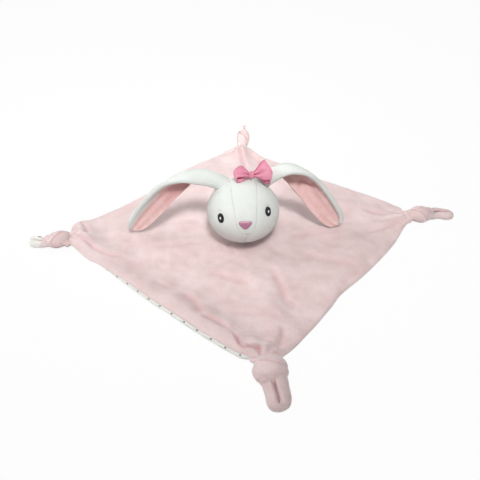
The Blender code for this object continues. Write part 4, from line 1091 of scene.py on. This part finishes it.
def collar_mesh(name, square):
    """The gathered neck of the strip: it sleeves the panel's corner and goes into the knot."""
    corner = CORNERS[name]
    size = corner["knot"]
    waist = TAIL_WAIST_RADIUS * size
    middle = knot_height(name)
    neck = square.parting(square.necks[name]) + 0.0006
    wide = corner["width"] * MM / 2.0
    rows = [
        (-0.0085, 0.0, neck, wide * 0.95, 0.0009),
        (-0.0050, 0.0, neck, wide * 1.02, 0.0014),
        (-0.0020, 0.0, (neck * 3.0 + middle) / 4.0, wide * 1.04, 0.0024),
        (0.0010, 0.0, (neck + middle) / 2.0, wide, 0.0034),
        (0.0046, 0.0, middle, (waist + wide) / 2.0, waist * 1.0),
        (0.0090, 0.0, middle, waist, waist * 0.9),
    ]
    seed = corner_seed(name, 3.0)
    bm = rounded_body(96, 40)
    for vert in bm.verts:
        along = (1.0 + math.copysign(abs(vert.co.x) ** 0.7, vert.co.x)) / 2.0
        spread = math.hypot(vert.co.y, vert.co.z)
        angle = math.atan2(vert.co.z, vert.co.y)
        x, y, z, wide, high = table_row(rows, along)
        cap = math.sqrt(max(0.0, 1.0 - (1.0 - min(1.0, spread * 3.0)) ** 2))
        gather = smooth_step(along * 2.2) * smooth_step((1.15 - along) * 2.0)
        pleat = 0.10 * math.cos(angle * 9.0 + seed) * gather
        lump = 0.03 * ripple(vert.co, 0.6, seed)
        grow = cap * (1.0 + pleat + lump)
        flat = math.copysign(abs(math.cos(angle)) ** 0.75, math.cos(angle))
        vert.co = (x, y + wide * cap * flat * (1.0 + lump), z + high * grow * math.sin(angle))
        vert.co.z = max(GROUND, vert.co.z)
    bmesh.ops.transform(bm, matrix=corner_frame(name, square), verts=bm.verts)
    return mesh_from(bm, "collar_" + name)


# Head

def head_point(direction, offset=0.0):
    """A place on the head's skin, or offset from it, for a direction on the unit sphere."""
    d = Vector(direction).normalized()
    muzzle = (d - Vector((0.0, -0.96, -0.05)).normalized()).length_squared
    swell = 1.0 + MUZZLE_SHARE * math.exp(-muzzle / 0.20)
    cheek = 1.0 - CHEEK_SHARE * d.z
    return HEAD_CENTRE + Vector((
        d.x * (HEAD_SIZES.x * cheek + offset),
        d.y * (HEAD_SIZES.y * swell + offset),
        d.z * (HEAD_SIZES.z + offset),
    ))


def gusset_half(around):
    if around < -90.0:
        around += 360.0
    return math.radians(curved_between(GUSSET_ANGLES, around)) if -75.0 < around < 195.0 else 0.0


def head_direction(sideways, around):
    a = math.radians(around)
    return Vector((math.sin(sideways), math.cos(sideways) * math.cos(a), math.cos(sideways) * math.sin(a)))


def skin_relief(direction):
    """Small softness of a stuffed form: slow lumps, and a pull where the eyes are stitched through."""
    d = Vector(direction).normalized()
    total = 0.00035 * ripple(d, 0.55, 2.0)
    for eye in EYE_DIRECTIONS.values():
        away = (d - Vector(eye).normalized()).length
        total -= 0.0009 * math.exp(-((away / 0.17) ** 2))
    return total


def seam_offset(apart, roll):
    """How far the skin turns in at a distance from its seam."""
    share = max(0.0, 1.0 - apart / roll)
    return -0.13 * roll * (1.0 - math.sqrt(max(0.0, 1.0 - share * share)))


def panel_mesh(name, part, roll):
    """A panel of the head: -1 or 1 is a side, from its seam with the gusset to the ear, and 0 is the
    gusset from behind the neck over the top to the nose."""
    segments, rings = 96, 64
    bm = bmesh.new()
    bmesh.ops.create_uvsphere(bm, u_segments=segments, v_segments=rings, radius=1.0)
    step = math.pi / rings
    spare, angles = [], {}
    for vert in bm.verts:
        sideways = math.asin(max(-1.0, min(1.0, vert.co.z)))
        around = math.degrees(math.atan2(vert.co.y, vert.co.x))
        angles[vert] = (sideways, around)
        if part:
            unwanted = sideways * part < BAND - step / 2.0
        else:
            turned = around + 360.0 if around < -91.0 else around
            unwanted = abs(sideways) > BAND + step / 2.0 or turned < -76.5 or turned > 196.5
        if unwanted:
            spare.append(vert)
    gone = set(spare)
    bmesh.ops.delete(bm, geom=spare, context="VERTS")
    for vert, (sideways, around) in angles.items():
        if vert in gone:
            continue
        half = gusset_half(around)
        if part:
            share = max(0.0, (abs(sideways) - BAND) / (math.pi / 2.0 - BAND)) ** 1.55
            apart = (math.pi / 2.0 - half) * share
            angle = math.copysign(half + apart + 0.0004, sideways)
            apart *= HEAD_SIZES.x
        else:
            share = 1.0 - (1.0 - min(1.0, abs(sideways) / BAND)) ** 1.5
            angle = math.copysign(max(0.0, half - 0.0004) * share, sideways)
            apart = (half - abs(angle)) * HEAD_SIZES.x
            turned = around + 360.0 if around < -91.0 else around
            around = min(max(turned, -74.0), 194.0)
        way = head_direction(angle, around)
        vert.co = head_point(way, seam_offset(apart, roll) + skin_relief(way))
    bmesh.ops.remove_doubles(bm, verts=bm.verts, dist=0.00003)
    bmesh.ops.recalc_face_normals(bm, faces=bm.faces)
    faces_from(bm, HEAD_CENTRE)
    return mesh_from(bm, name)


def skin_frame(direction):
    """The skin's place there, with its sideways and its upward direction."""
    place = head_point(direction)
    normal = Vector([d / s for d, s in zip(direction, HEAD_SIZES)]).normalized()
    across = Vector((0.0, 0.0, 1.0)).cross(normal).normalized()
    return place, across, normal.cross(across)


def on_skin(place, offset):
    """The skin's place, or offset from it, nearest along the line from the head's middle."""
    away = place - HEAD_CENTRE
    way = Vector((away.x / HEAD_SIZES.x, away.y / HEAD_SIZES.y, away.z / HEAD_SIZES.z))
    return head_point(way, offset + skin_relief(way))


def stitched_patch(name, direction, outline, tilt, lift, height, pitch, finish, slot, replaces,
                   slant=0.0):
    """A patch of satin stitches on the skin: a low dome with a ridge for every thread. outline gives
    the patch's own x and y for a place in the square from -1 to 1."""
    bm = bmesh.new()
    bmesh.ops.create_grid(bm, x_segments=44, y_segments=44, size=1.0)
    place, across, up = skin_frame(direction)
    turn = math.radians(tilt)
    for vert in bm.verts:
        a, b = vert.co.x, vert.co.y
        rim = max(abs(a), abs(b))
        x, y = outline(a, b)
        ridge = abs(math.sin(math.pi * (y + slant * x) / pitch))
        dome = math.sqrt(max(0.0, 1.0 - rim ** 4))
        rise = lift + height * dome * (0.86 + 0.14 * ridge)
        x, y = x * math.cos(turn) - y * math.sin(turn), x * math.sin(turn) + y * math.cos(turn)
        vert.co = on_skin(place + across * x + up * y, rise)
    faces_from(bm, HEAD_CENTRE)
    obj = add_piece(name, mesh_from(bm, name), finish, "head", slot=slot, replaces=replaces)
    thicken(obj, 0.0003)
    finish_modifiers(obj)


def skin_thread(direction, length, tilt, droop, offset):
    """Points of one short stitch on the skin, bowed by droop, with its ends let into the cloth."""
    place, across, up = skin_frame(direction)
    turn = math.radians(tilt)
    points = []
    for i in range(THREAD_POINTS):
        share = i / (THREAD_POINTS - 1) * 2.0 - 1.0
        along, down = share * length / 2.0, -droop * share * share
        x = along * math.cos(turn) - down * math.sin(turn)
        y = along * math.sin(turn) + down * math.cos(turn)
        sink = offset - (offset + 0.0003) * abs(share) ** 5
        points.append(on_skin(place + across * x + up * y, sink))
    return points


# Ears

def ear_mesh(name, side, inset, sizes):
    """One layer of an ear: its section is an arc that opens downwards at the root and forwards later.
    inset is 0 for the outer layer, whose upper edge is hemmed over the lining, and moves the lining
    in from it."""
    shares = [(*place, width, curl, roll) for place, width, curl, roll in EARS[name]]
    last = EAR_ROWS - 1
    places = []
    for i in range(EAR_ROWS):
        row = table_row(shares, i / last)
        places.append(HEAD_CENTRE + Vector(row[:3]) * sizes.length)
    bm = bmesh.new()
    bmesh.ops.create_grid(bm, x_segments=EAR_ROWS - 1, y_segments=EAR_COLUMNS - 1, size=0.5)
    crease_shade = bm.verts.layers.float.new("crease_shade")
    seed = 20.0 if side > 0 else 30.0
    hem = 0.0 if inset else EAR_HEM
    for vert in bm.verts:
        along = vert.co.x + 0.5
        across_share = vert.co.y * 2.0
        upper = -side * across_share
        i = round(along * last)
        width, curl, roll = table_row(shares, along)[3:]
        width, curl, roll = width * sizes.width, math.radians(curl), math.radians(roll)
        round_tip = math.sqrt(max(0.0, 1.0 - smooth_step((along - 0.90) / 0.10) ** 2 * 0.86))
        width *= round_tip
        tangent = (places[min(i + 1, last)] - places[max(i - 1, 0)]).normalized()
        inner = (Vector((0.0, 1.0, 0.0)).cross(tangent) * side).normalized()
        front = inner.cross(tangent).normalized() * side
        opening = inner * math.cos(roll) + front * math.sin(roll)
        across = tangent.cross(opening)
        radius = width / curl
        middle = radius * (1.0 - math.sin(curl / 2.0) / (curl / 2.0))
        turn, turned_in = 0.0, 0.0
        if not inset and upper > EAR_HEM_START:
            turn = (upper - EAR_HEM_START) / (1.0 - EAR_HEM_START)
            turned_in = max(0.0, turn * 2.0 - 1.0)
            rim = 0.03 + EAR_RIMS[name] * smooth_step((along - 0.30) / 0.30)
            across_share = -side * (1.0 - rim * turned_in)
        elif not inset and upper > 0.0:
            across_share /= EAR_HEM_START
        elif not inset:
            across_share *= 0.965
        angle = across_share / 2.0 * curl
        spot = Vector((along * 4.0, across_share, seed))
        soft = 0.0007 * noise.noise(spot * 1.6)
        if inset:
            root = smooth_step((0.62 - along) / 0.5)
            wrinkle = math.sin(along * 44.0 + across_share * 5.0 + 2.5 * noise.noise(spot * 2.0))
            soft += 0.0011 * root * wrinkle * (1.0 - across_share ** 4)
            soft -= 0.0004 * math.cos(across_share * 9.0) * (1.0 - root)
            start, slope = EAR_WRINKLES[name]
            pocket = along - start - slope * upper + 0.02 * math.sin(across_share * 6.0)
            # Painted shade along the fold across the lining.
            vert[crease_shade] = 0.9 * math.exp(-((pocket / 0.020) ** 2)) * smooth_step(1.1 - abs(upper))
            # Painted shade: the left lining is darker from its root to past its middle, more on its lower
            # side.
            if side < 0:
                vert[crease_shade] += (0.6 * smooth_step((0.78 - along) / 0.25)
                                 * smooth_step(0.6 - upper * 0.8))
            soft += (0.0022 * smooth_step(pocket / 0.045) * smooth_step((0.75 - along) / 0.25)
                     * (1.0 - upper ** 4))
        arm = radius - inset - soft * (1.0 - 0.7 * abs(across_share) ** 6)
        outwards = opening * (radius - middle - arm * math.cos(angle))
        vert.co = places[i] + across * (arm * math.sin(angle)) + outwards
        if hem:
            bead = min(hem, width * 0.11) * (0.15 + 0.85 * smooth_step(along * 6.0))
            inwards = across * -math.sin(angle) + opening * math.cos(angle)
            onwards = (across * math.cos(angle) + opening * math.sin(angle)) * -side
            swing = min(1.0, turn * 2.0) * math.pi
            depth = bead * (1.0 - math.cos(swing)) * (1.0 - 0.7 * turned_in)
            vert.co += inwards * depth + onwards * (bead * math.sin(swing))
    bmesh.ops.recalc_face_normals(bm, faces=bm.faces)
    face = max(bm.faces, key=lambda f: f.calc_center_median().z)
    if face.normal.z < 0.0:
        bmesh.ops.reverse_faces(bm, faces=bm.faces)
    if inset:
        bmesh.ops.reverse_faces(bm, faces=bm.faces)
    return mesh_from(bm, name)


# Bow

def bow_frame():
    return Matrix.Translation(head_point(BOW_DIRECTION, BOW_ABOVE_HEAD) + Vector((-0.0016, 0, 0)))


def loop_mesh(name, sizes):
    """A flattened ring of ribbon with pleats that run out from the wrap."""
    loop = BOW_LOOPS[name]
    length = sizes.loop_length * loop["length"]
    width = sizes.ribbon_width * loop["width"]
    start = 0.0016
    bm = bmesh.new()
    bmesh.ops.create_cone(bm, cap_ends=False, segments=96, radius1=1.0, radius2=1.0, depth=1.0)
    lengthways = [e for e in bm.edges if abs(e.verts[0].co.z - e.verts[1].co.z) > 0.5]
    bmesh.ops.subdivide_edges(bm, edges=lengthways, cuts=17)
    cloth = bm.loops.layers.uv.new("cloth")
    lean = Matrix.Rotation(-math.radians(loop["lean"]), 4, "X")
    rise = Matrix.Rotation(-math.radians(loop["rise"]) * loop["side"], 4, "Y")
    swing = Matrix.Rotation(-math.radians(loop["swing"]) * loop["side"], 4, "Z")
    place = bow_frame() @ swing @ rise @ lean
    spots = {}
    for vert in bm.verts:
        out = (vert.co.x + 1.0) / 2.0
        over = vert.co.z * 2.0
        layer = vert.co.y
        spots[vert] = (math.atan2(vert.co.y, vert.co.x) * length * 0.62 / MM, over)
        x = start + (length - start) * out
        near = (1.0 - out) ** 1.6
        open_up = smooth_step(out * 1.15)
        pleat = 0.0019 * near * math.cos(over * 7.0 + 0.6) * smooth_step(out * 9.0)
        y = layer * sizes.loop_depth * 0.36 * (0.30 + 0.70 * out) + pleat
        phase = 1.0 if layer > 0 else 0.0
        y += 0.0007 * open_up * math.sin(over * 2.2 + phase) * (1.0 - out * 0.4)
        flare = sizes.ribbon_waist * 0.8 + (width - sizes.ribbon_waist * 0.8) * open_up
        z = vert.co.z * flare + width * loop["shift"] * out
        under = open_up * (0.5 - 0.5 * over)
        z += (0.0030 * smooth_step(-layer * 2.0) - 0.0014 * smooth_step(layer * 2.0)) * under
        pull = 0.36 * abs(over) ** loop["point"] if over > 0.0 else 0.13 * over * over
        x -= pull * length * out
        vert.co = place @ Vector((x * loop["side"], y, z))
    write_uv(bm, cloth, spots)
    bmesh.ops.recalc_face_normals(bm, faces=bm.faces)
    return mesh_from(bm, "bow_loop_" + name)


def wrap_mesh():
    """The short turn of ribbon round the bow's middle, with soft upright folds."""
    bm = bmesh.new()
    bmesh.ops.create_uvsphere(bm, u_segments=48, v_segments=28, radius=1.0)
    cloth = bm.loops.layers.uv.new("cloth")
    lean = Matrix.Rotation(-math.radians(BOW_WRAP_LEAN), 4, "X")
    place = bow_frame() @ lean
    spots = {}
    for vert in bm.verts:
        x, y, z = vert.co
        angle = math.atan2(y, x)
        spots[vert] = (z * 5.0, 0.5 * math.sin(angle))
        reach = math.hypot(x, y) ** 0.45
        fold = 1.0 + 0.07 * math.cos(angle * 7.0) + 0.03 * math.sin(z * 4.0 + angle * 2.0)
        vert.co = place @ Vector((0.0029 * reach * fold * math.cos(angle),
                                  0.0038 * reach * fold * math.sin(angle), z * 0.0040))
    write_uv(bm, cloth, spots)
    return mesh_from(bm, "bow_wrap")


# Operators

class BLANKET_OT_stage(bpy.types.Operator):
    """Floor, light, world and camera"""

    bl_idname = "blanket.stage"
    bl_label = "Stage"

    def execute(self, context):
        scene = context.scene
        scene.view_settings.view_transform = "Standard"
        self.add_floor(scene)
        self.add_world(scene)
        self.add_lights(scene)
        camera = bpy.data.objects.new("photo_camera", bpy.data.cameras.new("photo_camera"))
        scene.collection.objects.link(camera)
        camera.data.lens = CAMERA_LENS
        camera.data.sensor_width = 36.0
        camera.data.clip_start = 0.01
        camera.location = CAMERA_PLACE
        yaw, pitch = math.radians(CAMERA_YAW), math.radians(CAMERA_PITCH)
        camera.rotation_euler = (math.pi / 2.0 - pitch, 0.0, -yaw)
        scene.camera = camera
        return {"FINISHED"}

    def add_floor(self, scene):
        """A white table that keeps the toy's shadow and otherwise shows as plain white."""
        bm = bmesh.new()
        bmesh.ops.create_grid(bm, x_segments=1, y_segments=1, size=6.0)
        floor = bpy.data.objects.new("floor", mesh_from(bm, "floor"))
        scene.collection.objects.link(floor)
        mat = bpy.data.materials.new("studio paper, matte white")
        mat.use_nodes = True
        tree = mat.node_tree
        out = tree.nodes["Material Output"]
        tree.nodes.remove(tree.nodes["Principled BSDF"])
        paper = node(tree, "ShaderNodeBsdfDiffuse", None, {"Color": (0.86, 0.86, 0.86, 1.0)})
        glow = node(tree, "ShaderNodeEmission", None, {"Color": shade(WHITE, 1.0), "Strength": 1.0})
        share = node(tree, "ShaderNodeMath", {"operation": "MULTIPLY"},
                     {0: seen_directly(tree), 1: FLOOR_GLOW})
        mix = node(tree, "ShaderNodeMixShader", None,
                   {0: share.outputs[0], 1: paper.outputs[0], 2: glow.outputs[0]})
        tree.links.new(mix.outputs[0], out.inputs["Surface"])
        floor.data.materials.append(mat)

    def add_world(self, scene):
        """Light that is strongest overhead and from the left; white where the camera looks past the
        floor."""
        world = bpy.data.worlds.new("soft studio")
        world.use_nodes = True
        scene.world = world
        tree = world.node_tree
        back = tree.nodes["Background"]
        seen = seen_directly(tree)
        way = node(tree, "ShaderNodeTexCoord").outputs["Generated"]
        way = node(tree, "ShaderNodeSeparateXYZ", None, {0: way})
        sky = node(tree, "ShaderNodeMapRange", None,
                   {"Value": way.outputs["Z"], "From Max": 1.0, "To Min": 0.18, "To Max": 0.50})
        side = node(tree, "ShaderNodeMapRange", None,
                    {"Value": way.outputs["X"], "From Min": -1.0, "From Max": 1.0, "To Min": 1.6,
                     "To Max": 0.5})
        sky = node(tree, "ShaderNodeMath", {"operation": "MULTIPLY"},
                   {0: sky.outputs[0], 1: side.outputs[0]})
        strength = node(tree, "ShaderNodeMapRange", None,
                        {"Value": seen, "To Min": sky.outputs[0], "To Max": 1.0})
        tree.links.new(strength.outputs[0], back.inputs["Strength"])
        warm = node(tree, "ShaderNodeMix", {"data_type": "RGBA"},
                    {0: seen, 6: (1.0, 0.968, 0.955, 1.0), 7: shade(WHITE, 1.0)})
        tree.links.new(warm.outputs[2], back.inputs["Color"])

    def add_lights(self, scene):
        """A gridded softbox above the viewer's head, and a broad faint one at the left and behind."""
        for name, (place, target, size, spread, power, colour) in LAMPS.items():
            data = bpy.data.lights.new(name, "AREA")
            data.size = size
            data.spread = math.radians(spread)
            data.energy = power
            data.color = colour
            lamp = bpy.data.objects.new(name, data)
            scene.collection.objects.link(lamp)
            lamp.location = place
            way = Vector(target) - Vector(place)
            lamp.rotation_euler = way.to_track_quat("-Z", "Y").to_euler()


class BLANKET_OT_panels(bpy.types.Operator):
    """Velour top, jersey backing and the thread in the seam between them"""

    bl_idname = "blanket.panels"
    bl_label = "Blanket panels"

    def execute(self, context):
        sizes = context.scene.blanket_sizes
        square = Square(sizes)
        mesh = cloth_square("velour_top", PANEL_CELLS, square.velour, 1.0, square)
        # Painted shade: the velour is darker and redder in its creases, by how deep in one each place
        # lies.
        crease_shade = mesh.attributes.new("crease_shade", "FLOAT", "POINT")
        crease_shade.data.foreach_set("value", [square.creased(vert.co.xy)[1] for vert in mesh.vertices])
        velour = add_piece("velour_top", mesh, "velour", "blanket", "pink_velour", ["top_panel"])
        thicken(velour, sizes.velour_thickness)
        finish_modifiers(velour)
        mesh = cloth_square("jersey_backing", BACKING_CELLS, square.jersey, -1.0, square)
        jersey = add_piece("jersey_backing", mesh, "jersey", "blanket", "white_jersey",
                           ["backing_panel"])
        thicken(jersey, sizes.backing_thickness)
        finish_modifiers(jersey)
        thread = self.seam_thread(square, sizes.thread)
        return {"FINISHED"}

    def seam_thread(self, square, radius):
        """The seam's thread, all round between the two cloths, with a dip at every stitch."""
        limit = 1.0 - SEAM_END / square.half
        paths = []
        for a, b in (((-1, -1), (1, -1)), ((1, -1), (1, 1)), ((1, 1), (-1, 1)), ((-1, 1), (-1, -1))):
            path = []
            for i in range(SEAM_POINTS + 1):
                f = (i / SEAM_POINTS * 2.0 - 1.0) * limit
                s = f * (b[0] - a[0]) / 2.0 if a[0] != b[0] else a[0]
                t = f * (b[1] - a[1]) / 2.0 if a[1] != b[1] else a[1]
                top, low = square.velour(s, t), square.jersey(s, t)
                inner = square.velour(s * 0.99, t * 0.99) - top
                inner.z = 0.0
                dip = 0.0004 + 0.0003 * math.cos(i * math.pi)
                path.append((top + low) / 2.0 + inner.normalized() * dip)
            paths.append(path)
        return stitch_tube("edge_seam_thread", paths, radius, "white", "blanket",
                           slot="thread_white", replaces=["edge_thread"])


class BLANKET_OT_corners(bpy.types.Operator):
    """A knot, its tail and its gathered collar at each corner"""

    bl_idname = "blanket.corners"
    bl_label = "Knotted corners"

    def execute(self, context):
        square = Square(context.scene.blanket_sizes)
        for name in CORNERS:
            body = "corner_" + name
            knot = add_piece("velour_knot_" + name, knot_mesh(name, square), "velour", body,
                             "pink_velour", ["knot_" + name])
            tail = add_piece("velour_tail_" + name, tail_mesh(name, square), "velour", body,
                             "pink_velour", ["tail_" + name])
            collar = add_piece("velour_collar_" + name, collar_mesh(name, square), "velour",
                               None, "pink_velour")
            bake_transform(collar)
            if name in TAIL_TIPS:
                tip = add_piece("jersey_tip_" + name, tail_mesh(name, square, TAIL_TIPS[name]),
                                "jersey", body, "white_jersey")
        return {"FINISHED"}


class BLANKET_OT_neck(bpy.types.Operator):
    """The gathered neck and the ladder stitches that hold it to the blanket"""

    bl_idname = "blanket.neck"
    bl_label = "Neck"

    def execute(self, context):
        low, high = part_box("neck_base")
        middle = (low + high) / 2.0
        radius, height = (high.x - low.x) / 2.0, high.z - low.z
        bm = bmesh.new()
        bmesh.ops.create_cone(bm, cap_ends=True, cap_tris=True, segments=96, radius1=1.0, radius2=1.0,
                              depth=1.0)
        upright = [e for e in bm.edges if abs(e.verts[0].co.z - e.verts[1].co.z) > 0.5]
        bmesh.ops.subdivide_edges(bm, edges=upright, cuts=11)
        for vert in bm.verts:
            share = vert.co.z + 0.5
            angle = math.atan2(vert.co.y, vert.co.x)
            spread = math.hypot(vert.co.x, vert.co.y)
            bulge = 0.90 + 0.10 * math.sin(math.pi * share) + 0.025 * math.cos(angle * 26.0)
            bulge -= 0.10 * smooth_step((share - 0.55) / 0.45)
            reach = radius * spread * bulge
            vert.co = (middle.x + reach * math.cos(angle), middle.y + reach * math.sin(angle),
                       low.z + height * share - 0.0013 * share ** 2 * spread ** 4)
        neck = add_piece("neck_sleeve", mesh_from(bm, "neck_sleeve"), "plush", "neck", "white_plush",
                         ["neck_base"])
        paths = []
        for i in range(LADDER_STITCHES):
            angle = i / LADDER_STITCHES * 2.0 * math.pi
            path = []
            for j in range(6):
                f = j / 5.0
                a = angle + 0.10 * f
                r = (radius * 0.93 + 0.0004 + 0.0014 * (1.0 - f)
                     - 0.0008 * math.cos(math.pi * (2 * f - 1)))
                path.append(Vector((middle.x + r * math.cos(a), middle.y + r * math.sin(a),
                                    low.z + 0.0002 + 0.0022 * f)))
            paths.append(path)
        stitch_tube("neck_ladder_stitches", paths, 0.00025, "white", "neck", slot="thread_white",
                    replaces=["neck_stitch"])
        return {"FINISHED"}


class BLANKET_OT_head(bpy.types.Operator):
    """Fill, forehead gusset and two side panels"""

    bl_idname = "blanket.head"
    bl_label = "Stuffed head"

    def execute(self, context):
        sizes = context.scene.head_sizes
        self.add_fill(sizes)
        for name, part in (("head_gusset", 0), ("head_side_left", -1), ("head_side_right", 1)):
            piece = "plush_" + name
            mesh = panel_mesh(piece, part, sizes.seam_roll)
            obj = add_piece(piece, mesh, "plush", "head", "white_plush", [name])
            thicken(obj, sizes.plush_thickness)
            finish_modifiers(obj)
        return {"FINISHED"}

    def add_fill(self, sizes):
        """The fill's lumpy surface, just inside the panels."""
        bm = bmesh.new()
        bmesh.ops.create_uvsphere(bm, u_segments=64, v_segments=40, radius=1.0)
        depth = sizes.plush_thickness + 0.0022
        for vert in bm.verts:
            way = vert.co.copy()
            lump = 0.0004 * ripple(way, 0.3, 6.0)
            vert.co = head_point(way, -depth + skin_relief(way) + lump)
        fill = add_piece("fibre_fill", mesh_from(bm, "fibre_fill"), "fibre", "head", "polyester_fill",
                         ["head_stuffing"])


class BLANKET_OT_face(bpy.types.Operator):
    """Stitched eyes, lashes, nose and mouth"""

    bl_idname = "blanket.face"
    bl_label = "Stitched face"

    def execute(self, context):
        sizes = context.scene.head_sizes
        pitch = sizes.thread_pitch

        def oval(width, height):
            return lambda a, b: (a * math.sqrt(1.0 - b * b / 2.0) * width / 2.0,
                                 b * math.sqrt(1.0 - a * a / 2.0) * height / 2.0)

        def nose(a, b):
            wide = 0.70 + 0.30 * b - 0.06 * b * b
            corner = 1.0 - 0.16 * a * a * b * b
            drop = (0.36 if b > 0.0 else 0.50) * abs(b) ** 1.5 * a * a * abs(a)
            return (a * sizes.nose_width / 2.0 * wide * corner / 0.94,
                    sizes.nose_height / 2.0 * (b - math.copysign(drop, b)))

        def band(a, b):
            x, y = a * math.sqrt(1.0 - b * b / 2.0), b * math.sqrt(1.0 - a * a / 2.0)
            return x * sizes.nose_width * 0.43, y * 0.0012 - 0.0012 * x * x

        for name in ("left", "right"):
            way, tilt = EYE_DIRECTIONS[name], EYE_TILTS[name]
            stitched_patch("stitched_eye_" + name, way, oval(sizes.eye_width, sizes.eye_height), tilt,
                           0.0001, 0.0009, pitch, "black", "thread_black", ["eye_" + name])
            stitched_patch("stitched_highlight_" + name, way, oval(*HIGHLIGHT_SIZE), tilt, 0.0009,
                           0.0005, pitch, "white", "thread_white", ["eye_highlight_" + name])
            paths = [skin_thread(way, length * MM, turn, 0.0003, 0.00035)
                     for way, length, turn in LASHES[name]]
            stitch_tube("lash_stitches_" + name, paths, 0.00024, "grey", "head", slot="thread_grey",
                        replaces=["lash_" + name])
        stitched_patch("stitched_nose", NOSE_DIRECTION, nose, 0.0, 0.0001, 0.0012, 0.0012, "nose",
                       "nose_mauve", ["nose"], slant=30.0)
        stitched_patch("stitched_nose_band", NOSE_BAND_DIRECTION, band, 0.0, 0.0002, 0.0011, pitch,
                       "nose_band", "nose_pale", ["nose_band"])
        path = skin_thread(MOUTH_DIRECTION, 0.0044, 0.0, -0.0008, 0.0003)
        stitch_tube("stitched_mouth", [path], 0.0003, "brown", "head", slot="thread_brown",
                    replaces=["mouth_stitch"])
        return {"FINISHED"}


class BLANKET_OT_ears(bpy.types.Operator):
    """Two long ears of plush with a pink lining"""

    bl_idname = "blanket.ears"
    bl_label = "Lined ears"

    def execute(self, context):
        sizes = context.scene.ear_sizes
        for name, side in (("left", -1), ("right", 1)):
            outer = self.layer("plush_ear_" + name, name, side, 0.0, sizes, "plush")
            lining = self.layer("lining_ear_" + name, name, side, LINING_INSET, sizes, "lining")
            for obj, thickness, slot, node_name in (
                    (outer, sizes.outer_thickness, "white_plush", "ear_outer_" + name),
                    (lining, sizes.lining_thickness, "lining_pink", "ear_lining_" + name)):
                thicken(obj, thickness, 1.0)
                bevel = obj.modifiers.new("Soft edge", "BEVEL")
                bevel.width = thickness * 0.45
                bevel.segments = 3
                bevel.limit_method = "ANGLE"
                bevel.angle_limit = math.radians(50.0)
                finish_modifiers(obj)
                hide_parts(node_name)
                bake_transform(obj)
        return {"FINISHED"}

    def layer(self, piece, name, side, inset, sizes, finish):
        mesh = ear_mesh(name, side, inset, sizes)
        mesh.name = piece
        return add_piece(piece, mesh, finish)


class BLANKET_OT_bow(bpy.types.Operator):
    """Two ribbon loops, the wrap round them and the thread that tacks them down"""

    bl_idname = "blanket.bow"
    bl_label = "Ribbon bow"

    def execute(self, context):
        sizes = context.scene.bow_sizes
        for name in BOW_LOOPS:
            obj = add_piece("ribbon_loop_" + name, loop_mesh(name, sizes), "ribbon", "bow",
                            "ribbon_pink", ["bow_loop_" + name])
            thicken(obj, sizes.ribbon_thickness, 0.0)
            finish_modifiers(obj)
        wrap = add_piece("ribbon_wrap", wrap_mesh(), "ribbon", "bow", "ribbon_pink", ["bow_wrap"])
        NODES["bow_stitch"].data.materials.clear()
        NODES["bow_stitch"].data.materials.append(material("white"))
        return {"FINISHED"}


class BLANKET_PT_sidebar(bpy.types.Panel):
    """The toy's pieces and sizes in the sidebar"""

    bl_idname = "BLANKET_PT_sidebar"
    bl_label = "Comfort blanket"
    bl_space_type = "VIEW_3D"
    bl_region_type = "UI"
    bl_category = "Comfort blanket"

    def draw(self, context):
        for operator in OPERATORS:
            self.layout.operator(operator.bl_idname)
        for group, kind in GROUPS.items():
            box = self.layout.box()
            box.label(text=kind.__name__)
            for name in kind.__annotations__:
                box.prop(getattr(context.scene, group), name)


OPERATORS = (BLANKET_OT_stage, BLANKET_OT_panels, BLANKET_OT_corners, BLANKET_OT_neck,
             BLANKET_OT_head, BLANKET_OT_face, BLANKET_OT_ears, BLANKET_OT_bow)
CLASSES = (*GROUPS.values(), *OPERATORS, BLANKET_PT_sidebar)


def register():
    for kind in CLASSES:
        bpy.utils.register_class(kind)
    for name, kind in GROUPS.items():
        setattr(bpy.types.Scene, name, PointerProperty(type=kind))


def unregister():
    for name in GROUPS:
        delattr(bpy.types.Scene, name)
    for kind in reversed(CLASSES):
        bpy.utils.unregister_class(kind)


def main():
    register()
    bpy.ops.blanket.stage()
    bpy.ops.blanket.panels()
    bpy.ops.blanket.corners()
    bpy.ops.blanket.neck()
    bpy.ops.blanket.head()
    bpy.ops.blanket.face()
    bpy.ops.blanket.ears()
    bpy.ops.blanket.bow()


if __name__ == "__main__":
    main()
